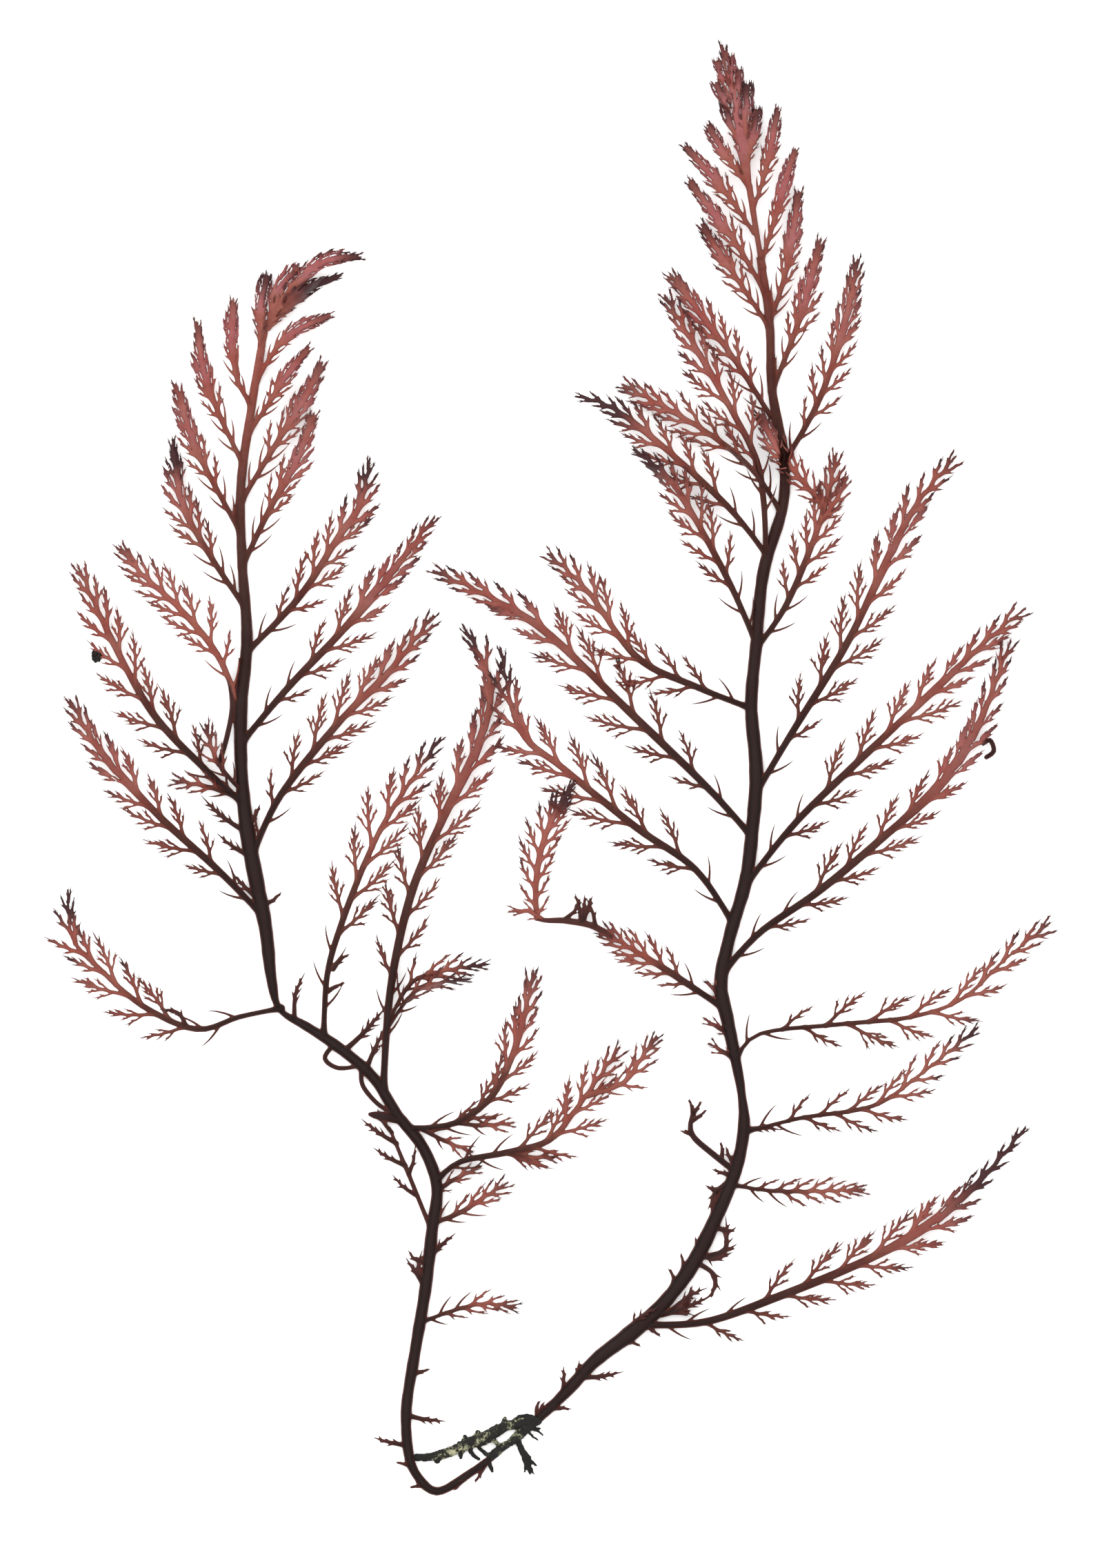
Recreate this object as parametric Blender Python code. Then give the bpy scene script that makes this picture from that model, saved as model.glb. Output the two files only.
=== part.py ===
"""Odonthalia setacea, a red seaweed: two fronds on one creeping, encrusted holdfast, lying flat.

Routes are in millimetres on the sheet under the plant: x to the right, y up from the foot, and heights from the sheet.
"""

import math
import random

import bmesh
import bpy
from mathutils import Vector, geometry

MM = 0.001
SHEET_CENTRE = (-0.52, 59.70)  # middle of the plant on its sheet, which becomes the origin
WELD = 1e-4

STEM_FLATNESS = 0.72  # height of a stem over its width
STEM_LOWEST_HEIGHT = 0.64
STEM_RING_STEP = 3.0
# Section of a stem as shares of its width and height: a flat underside and a low rounded back.
STEM_SECTION = [(-0.36, 0.0), (0.36, 0.0), (0.5, 0.42), (0.26, 1.0), (-0.26, 1.0), (-0.5, 0.42)]

BLADE_THICKNESS = 0.64
BLADE_LOWEST = 0.5 * BLADE_THICKNESS
BLADE_DROOP = 0.12  # fall for each millimetre away from the rib
ROOT_HEIGHT = 0.42
PARENT_REACH = 0.45  # a shoot that starts this near a rib grows from it
RIB_STEP = 5.0
RIB_SWELL = 0.25  # how much wider a rib is past its middle
RIB_TIP_TAPER = 0.6
RIB_LEAST_WIDTH = 0.36

PITCH_SHARE = 0.11  # spacing of branchlets along one side, as a share of the spray's length
PITCH_LIMITS = (1.8, 3.4)
PITCH_DRAW = (0.9, 1.1)
REACH_SHARE = 0.135  # longest branchlet, as a share of the spray's length
REACH_LIMITS = (1.5, 4.6)
REACH_DRAW = (0.88, 1.12)
RISE_SHARE = 0.25  # branchlets grow to full length over this share of the spray
FALL_FROM = 0.55  # past this share they shorten and stand closer
TIP_SHORTENING = 0.72
TIP_CROWDING = 0.5
ANGLE_AT_FOOT = 42.0
ANGLE_AT_TIP = 22.0
ANGLE_DRAW = 4.0
BRANCHLET_FOOT = 0.46
BRANCHLET_CURL = 0.10  # radians that the point leans back towards the rib
CROWDED_FROM = 0.55
FORK_FROM = 3.0  # branchlets at least this long carry a side tooth
FORK_PLACE = 0.42
FORK_LENGTH = 0.34
FORK_ANGLE = 0.52

SPINE_LIFT = 0.35
SPINE_TAPER = 0.45

# The left axis, from the end of its arched foot up to its curled tip: x, y and width.
LEFT_AXIS = [
    (-5.0, 3.8, 0.55), (-7.3, 2.1, 0.65), (-10.1, 0.55, 0.7), (-11.9, 2.1, 0.75), (-12.5, 4.2, 0.85),
    (-12.6, 7.5, 0.9), (-11.9, 12.0, 0.95), (-11.0, 17.5, 1.0), (-10.5, 22.0, 1.0), (-10.1, 25.5, 0.95),
    (-11.2, 28.7, 0.95), (-13.3, 31.4, 0.9), (-15.4, 34.6, 0.9), (-18.2, 37.0, 0.9), (-20.8, 38.7, 0.75),
    (-23.0, 40.1, 0.5), (-23.7, 42.7, 0.9), (-24.2, 47.0, 1.15), (-25.5, 53.7, 1.3), (-26.1, 59.0, 1.05),
    (-26.2, 64.7, 1.1), (-25.7, 70.5, 0.95), (-26.1, 77.0, 0.8), (-26.2, 83.0, 0.75), (-25.4, 89.0, 0.7),
    (-24.6, 94.0, 0.6), (-23.8, 97.0, 0.45),
]

# The right axis, from beside the holdfast to the foot of its top plume.
RIGHT_AXIS = [
    (-1.45, 6.75, 0.8), (0.5, 8.7, 0.95), (2.9, 11.3, 1.1), (6.0, 13.7, 1.25), (8.6, 16.1, 1.35),
    (11.0, 19.4, 1.4), (13.2, 23.9, 1.35), (14.5, 27.2, 1.3), (15.1, 30.5, 1.2), (14.6, 34.4, 1.1),
    (13.8, 39.0, 1.05), (13.2, 42.2, 0.95), (13.9, 46.0, 1.05), (15.2, 50.5, 1.1), (15.8, 55.0, 1.1),
    (16.1, 59.7, 1.15), (15.7, 65.0, 1.05), (16.1, 70.0, 1.0), (16.7, 76.0, 1.0), (18.3, 81.5, 0.9),
    (18.3, 86.0, 0.8), (17.4, 91.0, 0.75), (17.2, 96.4, 0.7), (16.5, 101.6, 0.6),
]

# Sprays: lift of the arch, height of the tip, bare length at the foot, width of the rib, and the route of the rib.
LEFT_SPRAYS = [
    (1.4, 0.40, 2.0, 0.75, [(-24.5, 47.9), (-28.1, 51.6), (-33.0, 56.1), (-37.7, 61.3), (-40.2, 65.5)]),
    (0.9, 0.50, 2.0, 0.75, [(-26.0, 57.0), (-29.2, 59.9), (-33.4, 64.4), (-36.8, 70.5), (-39.6, 76.6)]),
    (1.5, 0.40, 1.8, 0.65, [(-26.3, 65.0), (-28.1, 69.2), (-31.0, 72.8), (-34.6, 76.1), (-36.1, 78.1)]),
    (0.9, 0.50, 1.8, 0.60, [(-25.8, 73.0), (-28.8, 77.5), (-31.0, 81.7), (-31.8, 86.9)]),
    (1.5, 0.40, 1.6, 0.55, [(-26.2, 79.2), (-28.8, 84.0), (-30.2, 87.0), (-31.5, 91.4)]),
    (0.8, 0.50, 1.4, 0.50, [(-26.0, 84.8), (-28.0, 89.0), (-29.2, 92.5), (-29.8, 96.5)]),
    (1.0, 0.45, 1.2, 0.45, [(-25.4, 89.8), (-26.5, 91.8), (-26.9, 95.0), (-26.8, 98.4)]),
    (0.9, 0.40, 2.0, 0.75, [(-25.3, 52.6), (-22.9, 57.7), (-18.0, 63.8), (-14.2, 67.6), (-10.4, 72.4)]),
    (1.5, 0.50, 2.0, 0.75, [(-26.1, 62.0), (-22.3, 66.5), (-17.8, 71.2), (-14.4, 75.2), (-10.3, 80.5)]),
    (0.9, 0.40, 1.8, 0.70, [(-25.8, 69.3), (-21.4, 73.9), (-18.2, 78.8), (-16.4, 81.5), (-15.6, 85.3)]),
    (1.4, 0.50, 1.6, 0.60, [(-26.1, 76.4), (-23.6, 81.5), (-21.6, 85.0), (-20.2, 89.0)]),
    (0.8, 0.40, 1.5, 0.55, [(-26.1, 81.9), (-23.4, 86.3), (-21.0, 90.2), (-19.5, 93.2)]),
    (1.3, 0.50, 1.2, 0.45, [(-25.5, 87.5), (-24.0, 89.6), (-22.2, 92.4), (-20.6, 94.4)]),
    (0.8, 0.40, 1.2, 0.45, [(-24.9, 91.7), (-22.9, 94.8), (-20.8, 96.2), (-18.9, 97.0)]),
    (1.6, 0.80, 0.8, 0.50, [(-24.0, 96.2), (-22.6, 98.4), (-20.4, 100.8), (-18.6, 101.6), (-16.4, 101.8)]),
    (0.5, 0.40, 0.8, 0.45, [(-24.0, 96.0), (-22.3, 97.9), (-20.0, 99.3), (-17.3, 100.4)]),
    (0.9, 0.45, 0.8, 0.40, [(-24.5, 94.6), (-24.6, 97.4), (-23.8, 100.5)]),
    (1.2, 0.50, 4.0, 0.60, [
        (-22.9, 40.2), (-26.3, 39.5), (-29.8, 38.5), (-34.2, 40.4), (-37.8, 43.5), (-40.0, 46.0), (-40.4, 49.9)]),
    (1.3, 0.40, 2.5, 0.65, [
        (-19.4, 38.0), (-19.1, 42.9), (-18.0, 46.9), (-16.0, 52.1), (-13.9, 56.3), (-9.8, 62.4)]),
    (0.9, 0.36, 4.5, 0.85, [
        (-14.5, 33.7), (-13.9, 41.8), (-12.2, 49.6), (-9.5, 56.0), (-6.7, 61.8), (-5.7, 66.9), (-8.0, 71.7)]),
    (1.6, 0.60, 1.0, 0.60, [(-14.0, 39.2), (-12.2, 42.3), (-9.5, 43.3), (-5.9, 43.8)]),
    (0.5, 0.40, 1.0, 0.50, [(-14.0, 38.8), (-12.0, 41.5), (-9.9, 42.3), (-7.4, 42.6)]),
    (1.2, 0.40, 2.0, 0.65, [(-12.4, 30.3), (-8.6, 30.8), (-5.6, 33.0), (-3.8, 36.6), (-2.7, 40.6), (-2.2, 43.3)]),
    (0.4, 0.40, 0.8, 0.40, [(-8.4, 30.8), (-6.5, 30.6), (-3.8, 30.8)]),
    (0.4, 0.40, 0.8, 0.40, [(-11.2, 30.2), (-9.4, 29.3), (-7.2, 28.4)]),
    (1.1, 0.40, 2.0, 0.65, [(-10.2, 26.0), (-8.2, 27.6), (-4.3, 28.4), (-0.9, 29.4), (1.3, 31.9), (4.9, 37.0)]),
    (0.5, 0.40, 1.0, 0.45, [(2.3, 33.0), (5.2, 34.1), (6.4, 35.7), (7.9, 37.9)]),
    (0.4, 0.40, 0.8, 0.40, [(-4.4, 28.4), (-2.3, 28.0), (-0.3, 28.0)]),
    (0.6, 0.40, 0.6, 0.40, [(-10.2, 25.1), (-8.8, 26.1), (-6.5, 27.2)]),
    (0.7, 0.40, 0.8, 0.50, [(-10.5, 22.5), (-8.1, 23.5), (-6.4, 24.6), (-4.3, 25.9)]),
    (0.9, 0.40, 1.6, 0.55, [(-10.7, 22.3), (-12.1, 25.8), (-13.3, 28.9), (-16.2, 31.1)]),
    (0.8, 0.40, 1.2, 0.55, [(-11.5, 14.4), (-8.5, 15.5), (-6.0, 16.0), (-3.6, 15.6)]),
    (0.7, 0.40, 1.0, 0.45, [(-26.1, 57.3), (-28.6, 58.3), (-31.8, 58.9)]),
    (1.0, 0.50, 1.2, 0.45, [(-26.1, 58.0), (-28.1, 60.4), (-29.1, 63.5)]),
]

RIGHT_SPRAYS = [
    (0.9, 0.60, 0.4, 0.55, [(16.6, 101.0), (15.9, 105.2), (15.1, 110.0), (14.2, 115.0), (13.3, 119.2)]),
    (1.0, 0.40, 0.8, 0.40, [(15.4, 107.6), (13.8, 109.8), (12.1, 112.7)]),
    (0.8, 0.50, 1.0, 0.45, [(15.9, 103.8), (13.5, 107.2), (10.3, 110.9)]),
    (1.2, 0.40, 1.2, 0.50, [(16.8, 99.0), (14.1, 103.4), (10.6, 108.0)]),
    (0.7, 0.50, 1.2, 0.45, [(17.1, 96.2), (14.6, 99.9), (11.6, 104.5)]),
    (1.3, 0.40, 1.5, 0.55, [(17.7, 88.1), (14.5, 93.1), (11.4, 97.3), (9.0, 100.5)]),
    (0.8, 0.50, 0.8, 0.40, [(15.8, 105.6), (16.9, 109.0), (17.9, 114.1)]),
    (1.1, 0.40, 1.0, 0.45, [(16.5, 101.3), (17.7, 105.2), (19.3, 110.7)]),
    (0.8, 0.50, 1.2, 0.50, [(17.1, 96.1), (18.6, 100.9), (19.6, 107.2)]),
    (1.3, 0.40, 1.4, 0.55, [(17.4, 90.8), (19.7, 96.9), (21.4, 103.3)]),
    (0.9, 0.50, 1.6, 0.60, [(18.3, 84.8), (21.3, 90.2), (23.5, 96.9), (24.4, 101.6)]),
    (1.9, 0.50, 4.0, 0.65, [(16.9, 77.2), (16.7, 81.7), (16.0, 85.4), (13.4, 90.4), (10.4, 95.6), (8.6, 98.7)]),
    (0.8, 0.40, 2.0, 0.55, [(18.1, 81.0), (15.6, 84.5), (11.8, 87.6), (5.1, 91.4)]),
    (1.2, 0.50, 1.8, 0.65, [(16.8, 77.6), (13.8, 81.3), (8.5, 86.2), (4.2, 89.5), (1.3, 90.4)]),
    (0.9, 0.40, 1.8, 0.65, [(16.1, 70.1), (14.0, 74.9), (11.1, 80.3), (8.8, 83.8), (6.0, 86.0)]),
    (1.4, 0.50, 1.8, 0.70, [(15.7, 64.8), (11.1, 66.6), (6.3, 69.0), (2.2, 74.5), (-1.0, 77.5)]),
    (0.9, 0.50, 2.5, 0.80, [
        (15.8, 54.2), (12.2, 58.2), (5.3, 64.9), (-1.2, 71.1), (-5.9, 74.0), (-10.4, 76.1)]),
    (1.2, 2.10, 2.5, 0.75, [
        (14.3, 47.0), (11.1, 51.6), (6.3, 55.0), (0.5, 59.7), (-3.3, 63.1), (-4.9, 69.8)]),
    (0.7, 0.45, 2.5, 0.70, [(13.3, 40.3), (8.8, 43.3), (5.1, 45.8), (1.8, 47.5), (-1.6, 48.2)]),
    (1.0, 1.20, 0.8, 0.60, [(-1.3, 47.8), (-1.4, 51.0), (-1.0, 54.0), (1.2, 58.8)]),
    (0.4, 0.40, 0.5, 0.40, [(-0.9, 48.0), (-2.5, 48.4), (-4.1, 48.2)]),
    (0.8, 0.60, 0.3, 0.60, [(1.6, 47.4), (2.2, 48.5), (2.0, 49.8)]),
    (0.9, 0.40, 1.2, 0.50, [(14.5, 26.7), (11.5, 28.8), (10.7, 30.3), (10.9, 32.4)]),
    (1.2, 0.50, 1.8, 0.65, [(16.2, 69.8), (18.4, 73.0), (20.3, 77.3), (21.8, 81.6), (22.7, 85.7)]),
    (1.5, 1.60, 0.3, 0.50, [(21.6, 81.4), (19.2, 84.2), (17.7, 86.2), (16.4, 88.9)]),
    (0.6, 0.50, 0.6, 0.45, [(21.2, 79.9), (22.6, 81.8), (23.6, 83.8)]),
    (1.4, 0.40, 2.5, 0.75, [
        (15.9, 57.5), (18.9, 62.6), (23.4, 69.9), (26.2, 75.6), (29.1, 81.3), (32.5, 85.5)]),
    (0.9, 0.50, 2.0, 0.75, [
        (15.3, 50.4), (19.3, 55.4), (24.2, 60.2), (31.0, 66.6), (35.5, 70.8), (38.2, 73.0)]),
    (1.4, 0.40, 1.8, 0.80, [
        (13.5, 43.3), (16.5, 46.5), (21.2, 49.8), (26.0, 53.8), (31.0, 58.4), (34.2, 63.2), (37.0, 70.4)]),
    (0.9, 0.50, 2.0, 0.65, [
        (14.4, 35.9), (16.4, 38.1), (23.0, 38.9), (28.8, 39.5), (33.0, 41.0), (36.5, 44.2), (40.2, 47.2)]),
    (1.3, 0.40, 1.6, 0.60, [(15.1, 30.0), (19.7, 31.2), (25.6, 32.2), (29.3, 34.6), (34.3, 38.6)]),
    (0.7, 0.50, 1.0, 0.50, [(14.2, 25.7), (18.0, 25.2), (25.0, 25.3)]),
    (0.9, 0.50, 4.0, 0.85, [
        (6.8, 14.2), (12.0, 14.5), (18.0, 16.6), (25.0, 19.5), (30.0, 22.3), (34.2, 25.8), (38.2, 30.4)]),
    (0.9, 0.60, 0.8, 0.55, [(7.5, 14.9), (10.3, 15.4), (12.4, 16.4)]),
    (1.2, 0.60, 0.8, 0.50, [(11.3, 19.2), (12.6, 18.6), (12.9, 17.4), (12.2, 16.3)]),
    (0.9, 0.50, 0.6, 0.50, [(11.6, 19.8), (13.2, 20.2), (14.5, 21.0)]),
    (0.5, 0.45, 0.6, 0.40, [(14.1, 38.1), (13.0, 38.6), (11.8, 39.4)]),
    (0.5, 0.45, 0.6, 0.40, [(14.3, 36.0), (13.3, 36.7), (12.2, 37.3)]),
    (0.5, 0.45, 0.6, 0.40, [(13.4, 40.6), (12.8, 41.5), (12.1, 42.4)]),
]

# Single spines, curls and broken stubs: width at the foot, then the route to the point.
LEFT_SPINES = [
    (0.50, [(-12.1, 10.2), (-10.6, 10.6)]),
    (0.50, [(-12.5, 6.8), (-11.2, 6.5), (-9.3, 6.3)]),
    (0.50, [(-12.4, 4.3), (-14.0, 4.6), (-15.4, 5.0)]),
    (0.50, [(-12.0, 2.6), (-13.5, 3.0)]),
    (0.50, [(-11.0, 1.1), (-12.4, 0.9)]),
    (0.50, [(-11.0, 17.4), (-11.9, 18.6), (-12.7, 19.8)]),
    (0.45, [(-10.9, 19.3), (-11.9, 19.6), (-12.5, 20.4)]),
    (0.55, [(-10.9, 19.6), (-9.7, 20.8), (-8.5, 21.8)]),
    (0.50, [(-25.7, 54.6), (-27.8, 56.0), (-29.5, 57.7)]),
    (0.50, [(-25.3, 52.6), (-26.9, 53.5), (-28.2, 54.6)]),
    (0.50, [(-24.6, 49.0), (-25.9, 50.2), (-26.9, 51.3)]),
    (0.50, [(-25.7, 55.1), (-25.0, 56.0), (-24.6, 57.0)]),
    (0.45, [(-24.3, 48.7), (-23.5, 49.1), (-22.8, 49.8)]),
    (0.55, [(-17.6, 36.8), (-16.1, 38.2), (-14.2, 40.4)]),
    (0.50, [(-15.9, 35.2), (-15.2, 36.9), (-14.2, 38.8)]),
    (0.75, [(-12.9, 31.0), (-14.3, 31.3), (-15.4, 31.4)]),
    (0.50, [(-16.3, 35.4), (-16.2, 33.9), (-15.0, 32.4), (-13.5, 31.4)]),
    (0.50, [(-18.6, 37.2), (-19.0, 36.0), (-18.2, 35.3), (-16.2, 35.5)]),
    (0.45, [(-11.6, 24.2), (-12.4, 25.2), (-13.6, 26.6)]),
    (0.45, [(-12.8, 27.6), (-14.0, 28.0), (-15.1, 28.6)]),
]

RIGHT_SPINES = [
    (0.45, [(0.2, 8.4), (0.3, 9.6), (0.3, 10.9)]),
    (0.45, [(1.0, 9.2), (1.4, 10.2), (1.6, 11.4)]),
    (0.50, [(1.6, 9.9), (3.4, 10.0), (5.3, 10.4)]),
    (0.45, [(9.2, 17.2), (9.3, 18.2), (8.8, 18.9)]),
    (0.45, [(10.1, 18.5), (10.1, 19.3), (9.9, 20.2)]),
    (0.50, [(5.2, 13.2), (6.7, 12.4)]),
    (0.50, [(7.0, 14.3), (8.3, 13.2)]),
    (0.45, [(-0.9, 7.3), (0.0, 7.4), (1.0, 7.3)]),
    (0.45, [(14.2, 26.4), (12.4, 27.0)]),
    (0.55, [(14.2, 26.2), (12.7, 25.0), (12.5, 23.6), (13.0, 22.6)]),
    (0.45, [(12.9, 25.1), (11.9, 25.7)]),
    (0.50, [(14.5, 27.2), (13.9, 28.0), (13.6, 28.9)]),
    (0.55, [(12.6, 22.3), (13.9, 21.9), (14.5, 22.3)]),
    (0.50, [(15.0, 30.2), (16.7, 30.4), (18.2, 30.2)]),
]

# The creeping strand: x, y and width, from beside the left stem to beside the right one.
STRAND = [
    (-11.35, 3.6, 0.9), (-10.1, 3.8, 1.1), (-8.7, 4.15, 1.0), (-7.3, 4.65, 1.2), (-5.9, 5.05, 1.15),
    (-4.4, 5.6, 1.2), (-3.2, 6.1, 1.0), (-2.3, 6.4, 0.75),
]
STRAND_SPURS = [
    (0.55, [(-7.1, 4.5), (-6.75, 3.9), (-6.7, 3.35)]),
    (0.60, [(-4.0, 5.7), (-3.1, 4.1), (-1.9, 2.3)]),
    (0.50, [(-2.9, 6.1), (-2.2, 5.5), (-1.4, 5.3)]),
]
CRUST_LUMPS = 12
CRUST_LUMP_RADII = (0.30, 0.48)
CRUST_LUMP_SPREAD = 0.28  # how far a lump sits from the strand's middle line
CRUST_LUMP_CLEARANCE = 0.12
CRUST_SEED = 5

LEFT_FROND_COLOUR = (0.145, 0.048, 0.038, 1.0)
RIGHT_FROND_COLOUR = (0.110, 0.036, 0.030, 1.0)
CRUST_COLOUR = (0.060, 0.062, 0.040, 1.0)


def clear_scene():
    for obj in list(bpy.data.objects):
        bpy.data.objects.remove(obj, do_unlink=True)


def material(name, colour, roughness):
    made = bpy.data.materials.new(name)
    made.use_nodes = True
    shader = made.node_tree.nodes["Principled BSDF"]
    shader.inputs["Base Color"].default_value = colour
    shader.inputs["Roughness"].default_value = roughness
    shader.inputs["Metallic"].default_value = 0.0
    return made


def clamp(value, low, high):
    return max(low, min(high, value))


def smooth_route(points, step):
    """A curve through the points, with a corner about every step; a third value, such as a width, is carried along."""
    size = len(points[0])
    ends = [points[0]] + list(points) + [points[-1]]
    route = []
    for before, start, end, after in zip(ends, ends[1:], ends[2:], ends[3:]):
        parts = max(1, round(math.dist(start[:2], end[:2]) / step))
        for part in range(parts):
            t = part / parts
            route.append(tuple(
                0.5 * (2 * start[k] + (end[k] - before[k]) * t
                       + (2 * before[k] - 5 * start[k] + 4 * end[k] - after[k]) * t ** 2
                       + (3 * start[k] - before[k] - 3 * end[k] + after[k]) * t ** 3)
                for k in range(size)))
    return route + [tuple(points[-1])]


def directions(route):
    """The unit direction at each corner of the route."""
    found = []
    for i in range(len(route)):
        ahead = Vector(route[min(i + 1, len(route) - 1)][:2])
        behind = Vector(route[max(i - 1, 0)][:2])
        found.append((ahead - behind).normalized())
    return found


def turned(direction, angle):
    cosine, sine = math.cos(angle), math.sin(angle)
    return Vector((cosine * direction.x - sine * direction.y, sine * direction.x + cosine * direction.y))


class Rib:
    """The middle line of a spray, which gives places along it and the arched height of the blade round it."""

    def __init__(self, points, lift, tip_height, root_height=ROOT_HEIGHT, step=RIB_STEP):
        self.route = [Vector(p[:2]) for p in smooth_route(points, step)]
        self.along = [0.0]
        for start, end in zip(self.route, self.route[1:]):
            self.along.append(self.along[-1] + (end - start).length)
        self.length = self.along[-1]
        self.lift = lift
        self.root_height = root_height
        self.tip_height = tip_height

    def at(self, distance):
        """The point and the direction at this distance from the foot."""
        distance = clamp(distance, 0.0, self.length)
        for i in range(len(self.route) - 1):
            if distance <= self.along[i + 1] or i == len(self.route) - 2:
                start, end = self.route[i], self.route[i + 1]
                share = (distance - self.along[i]) / (self.along[i + 1] - self.along[i])
                return start.lerp(end, share), (end - start).normalized()

    def nearest(self, point):
        """How far the point is from the rib, and how far along the rib the nearest place is."""
        found = []
        for i, (start, end) in enumerate(zip(self.route, self.route[1:])):
            run = end - start
            share = clamp((point - start).dot(run) / run.length_squared, 0.0, 1.0)
            found.append(((point - start - run * share).length, self.along[i] + share * run.length))
        return min(found)

    def height(self, point):
        """Highest along the rib, lower away from it, and never so low that the blade would sink into the sheet."""
        gap, along = self.nearest(point)
        u = along / self.length
        arch = self.root_height * (1 - u) + self.tip_height * u + self.lift * math.sin(math.pi * u)
        return max(BLADE_LOWEST, arch - BLADE_DROOP * gap)


def root_height(point, ribs):
    """The height of the rib that a shoot starts from, or that of the axis where there is none."""
    point = Vector(point)
    parents = [rib for rib in ribs if rib.nearest(point)[0] < PARENT_REACH]
    return parents[0].height(point) if parents else ROOT_HEIGHT


def branchlets(length, bare, seed):
    """Distance, side, reach and angle of each branchlet: alternate, longest past the middle, crowded at the tip."""
    draw = random.Random(seed)
    pitch = clamp(PITCH_SHARE * length, *PITCH_LIMITS)
    full = clamp(REACH_SHARE * length, *REACH_LIMITS)
    side = draw.choice((-1, 1))
    distance = bare
    found = []
    while distance < length - 0.5:
        u = distance / length
        past = max(0.0, (u - FALL_FROM) / (1 - FALL_FROM))
        rise = 0.5 + 0.5 * min(1.0, (distance - bare) / (RISE_SHARE * length))
        reach = full * rise * (1 - TIP_SHORTENING * past) * draw.uniform(*REACH_DRAW)
        lean = ANGLE_AT_FOOT + (ANGLE_AT_TIP - ANGLE_AT_FOOT) * u + draw.uniform(-ANGLE_DRAW, ANGLE_DRAW)
        found.append((distance, side, reach, math.radians(lean)))
        distance += 0.5 * pitch * (1 - TIP_CROWDING * past) * draw.uniform(*PITCH_DRAW)
        side = -side
    return found


def rib_outline(rib, width):
    """The rib's own strip, a little wider past its middle and pointed at its tip."""
    left, right = [], []
    for point, along, direction in zip(rib.route[:-1], rib.along, directions(rib.route)):
        u = along / rib.length
        share = 1 + RIB_SWELL * math.sin(math.pi * u) - RIB_TIP_TAPER * u ** 3
        half = 0.5 * max(RIB_LEAST_WIDTH, width * share)
        across = Vector((-direction.y, direction.x)) * half
        left.append(point + across)
        right.append(point - across)
    return right + [rib.route[-1]] + left[::-1]


def branchlet_outline(rib, distance, side, reach, angle):
    """A pointed lobe whose foot is sunk in the rib; a long one is forked by a tooth on its outer side."""
    foot, direction = rib.at(distance)
    heading = turned(direction, side * angle)
    outward = turned(heading, side * math.pi / 2)
    half = 0.5 * BRANCHLET_FOOT
    corners = [foot + outward * half]
    if reach >= FORK_FROM:
        notch = foot + heading * FORK_PLACE * reach + outward * 0.5 * half
        corners.append(notch + turned(heading, side * FORK_ANGLE) * FORK_LENGTH * reach)
        corners.append(notch)
    corners.append(foot + turned(heading, -side * BRANCHLET_CURL) * reach)
    corners.append(foot - outward * half)
    return corners if side < 0 else corners[::-1]


def rim_edges(triangles):
    """Edges that one triangle alone uses, in that triangle's order."""
    edges = {(a, b) for t in triangles for a, b in zip(t, t[1:] + t[:1])}
    return sorted(edge for edge in edges if edge[::-1] not in edges)


def counter_clockwise(outline):
    area = sum(a.x * b.y - b.x * a.y for a, b in zip(outline, outline[1:] + outline[:1]))
    return outline if area > 0 else outline[::-1]


def within_rim(triangles, rim):
    """The triangles on the inner side of the rim, found from neighbour to neighbour."""
    owner = {edge: n for n, t in enumerate(triangles) for edge in zip(t, t[1:] + t[:1])}
    waiting = [owner[edge] for edge in rim]
    found = set()
    while waiting:
        n = waiting.pop()
        if n not in found:
            found.add(n)
            sides = zip(triangles[n], triangles[n][1:] + triangles[n][:1])
            waiting += [owner[side[::-1]] for side in sides if side not in rim]
    return [triangles[n] for n in sorted(found)]


def merged_area(outlines):
    """The area that the outlines cover together, as triangles between the corners of its rim alone."""
    corners, faces = [], []
    for outline in outlines:
        faces.append(list(range(len(corners), len(corners) + len(outline))))
        corners += counter_clockwise(outline)
    points, _, triangles, *_ = geometry.delaunay_2d_cdt(corners, [], faces, 1, WELD)
    rim = rim_edges([list(t) for t in triangles])
    kept = sorted({i for edge in rim for i in edge})
    number = {old: new for new, old in enumerate(kept)}
    rim = {(number[a], number[b]) for a, b in rim}
    points, _, triangles, *_ = geometry.delaunay_2d_cdt([points[i] for i in kept], sorted(rim), [], 0, WELD)
    return points, within_rim([list(t) for t in triangles], rim)


def placed(point, height):
    """A point of the sheet and a height over it, in metres from the plant's middle."""
    return Vector((point[0] - SHEET_CENTRE[0], point[1] - SHEET_CENTRE[1], height)) * MM


def mesh_object(name, corners, faces, collection):
    mesh = bpy.data.meshes.new(name)
    mesh.from_pydata(corners, [], faces)
    mesh.update()
    obj = bpy.data.objects.new(name, mesh)
    collection.objects.link(obj)
    return obj


def blade(name, outlines, rib, collection):
    """A thin blade with the merged outline, arched over the sheet, with the same triangles on both faces."""
    points, triangles = merged_area(outlines)
    count = len(points)
    heights = [rib.height(point) for point in points]
    half = 0.5 * BLADE_THICKNESS
    corners = [placed(p, h - half) for p, h in zip(points, heights)]
    corners += [placed(p, h + half) for p, h in zip(points, heights)]
    faces = [t[::-1] for t in triangles] + [[i + count for i in t] for t in triangles]
    faces += [(a, b, b + count, a + count) for a, b in rim_edges(triangles)]
    return mesh_object(name, corners, faces, collection)


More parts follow.
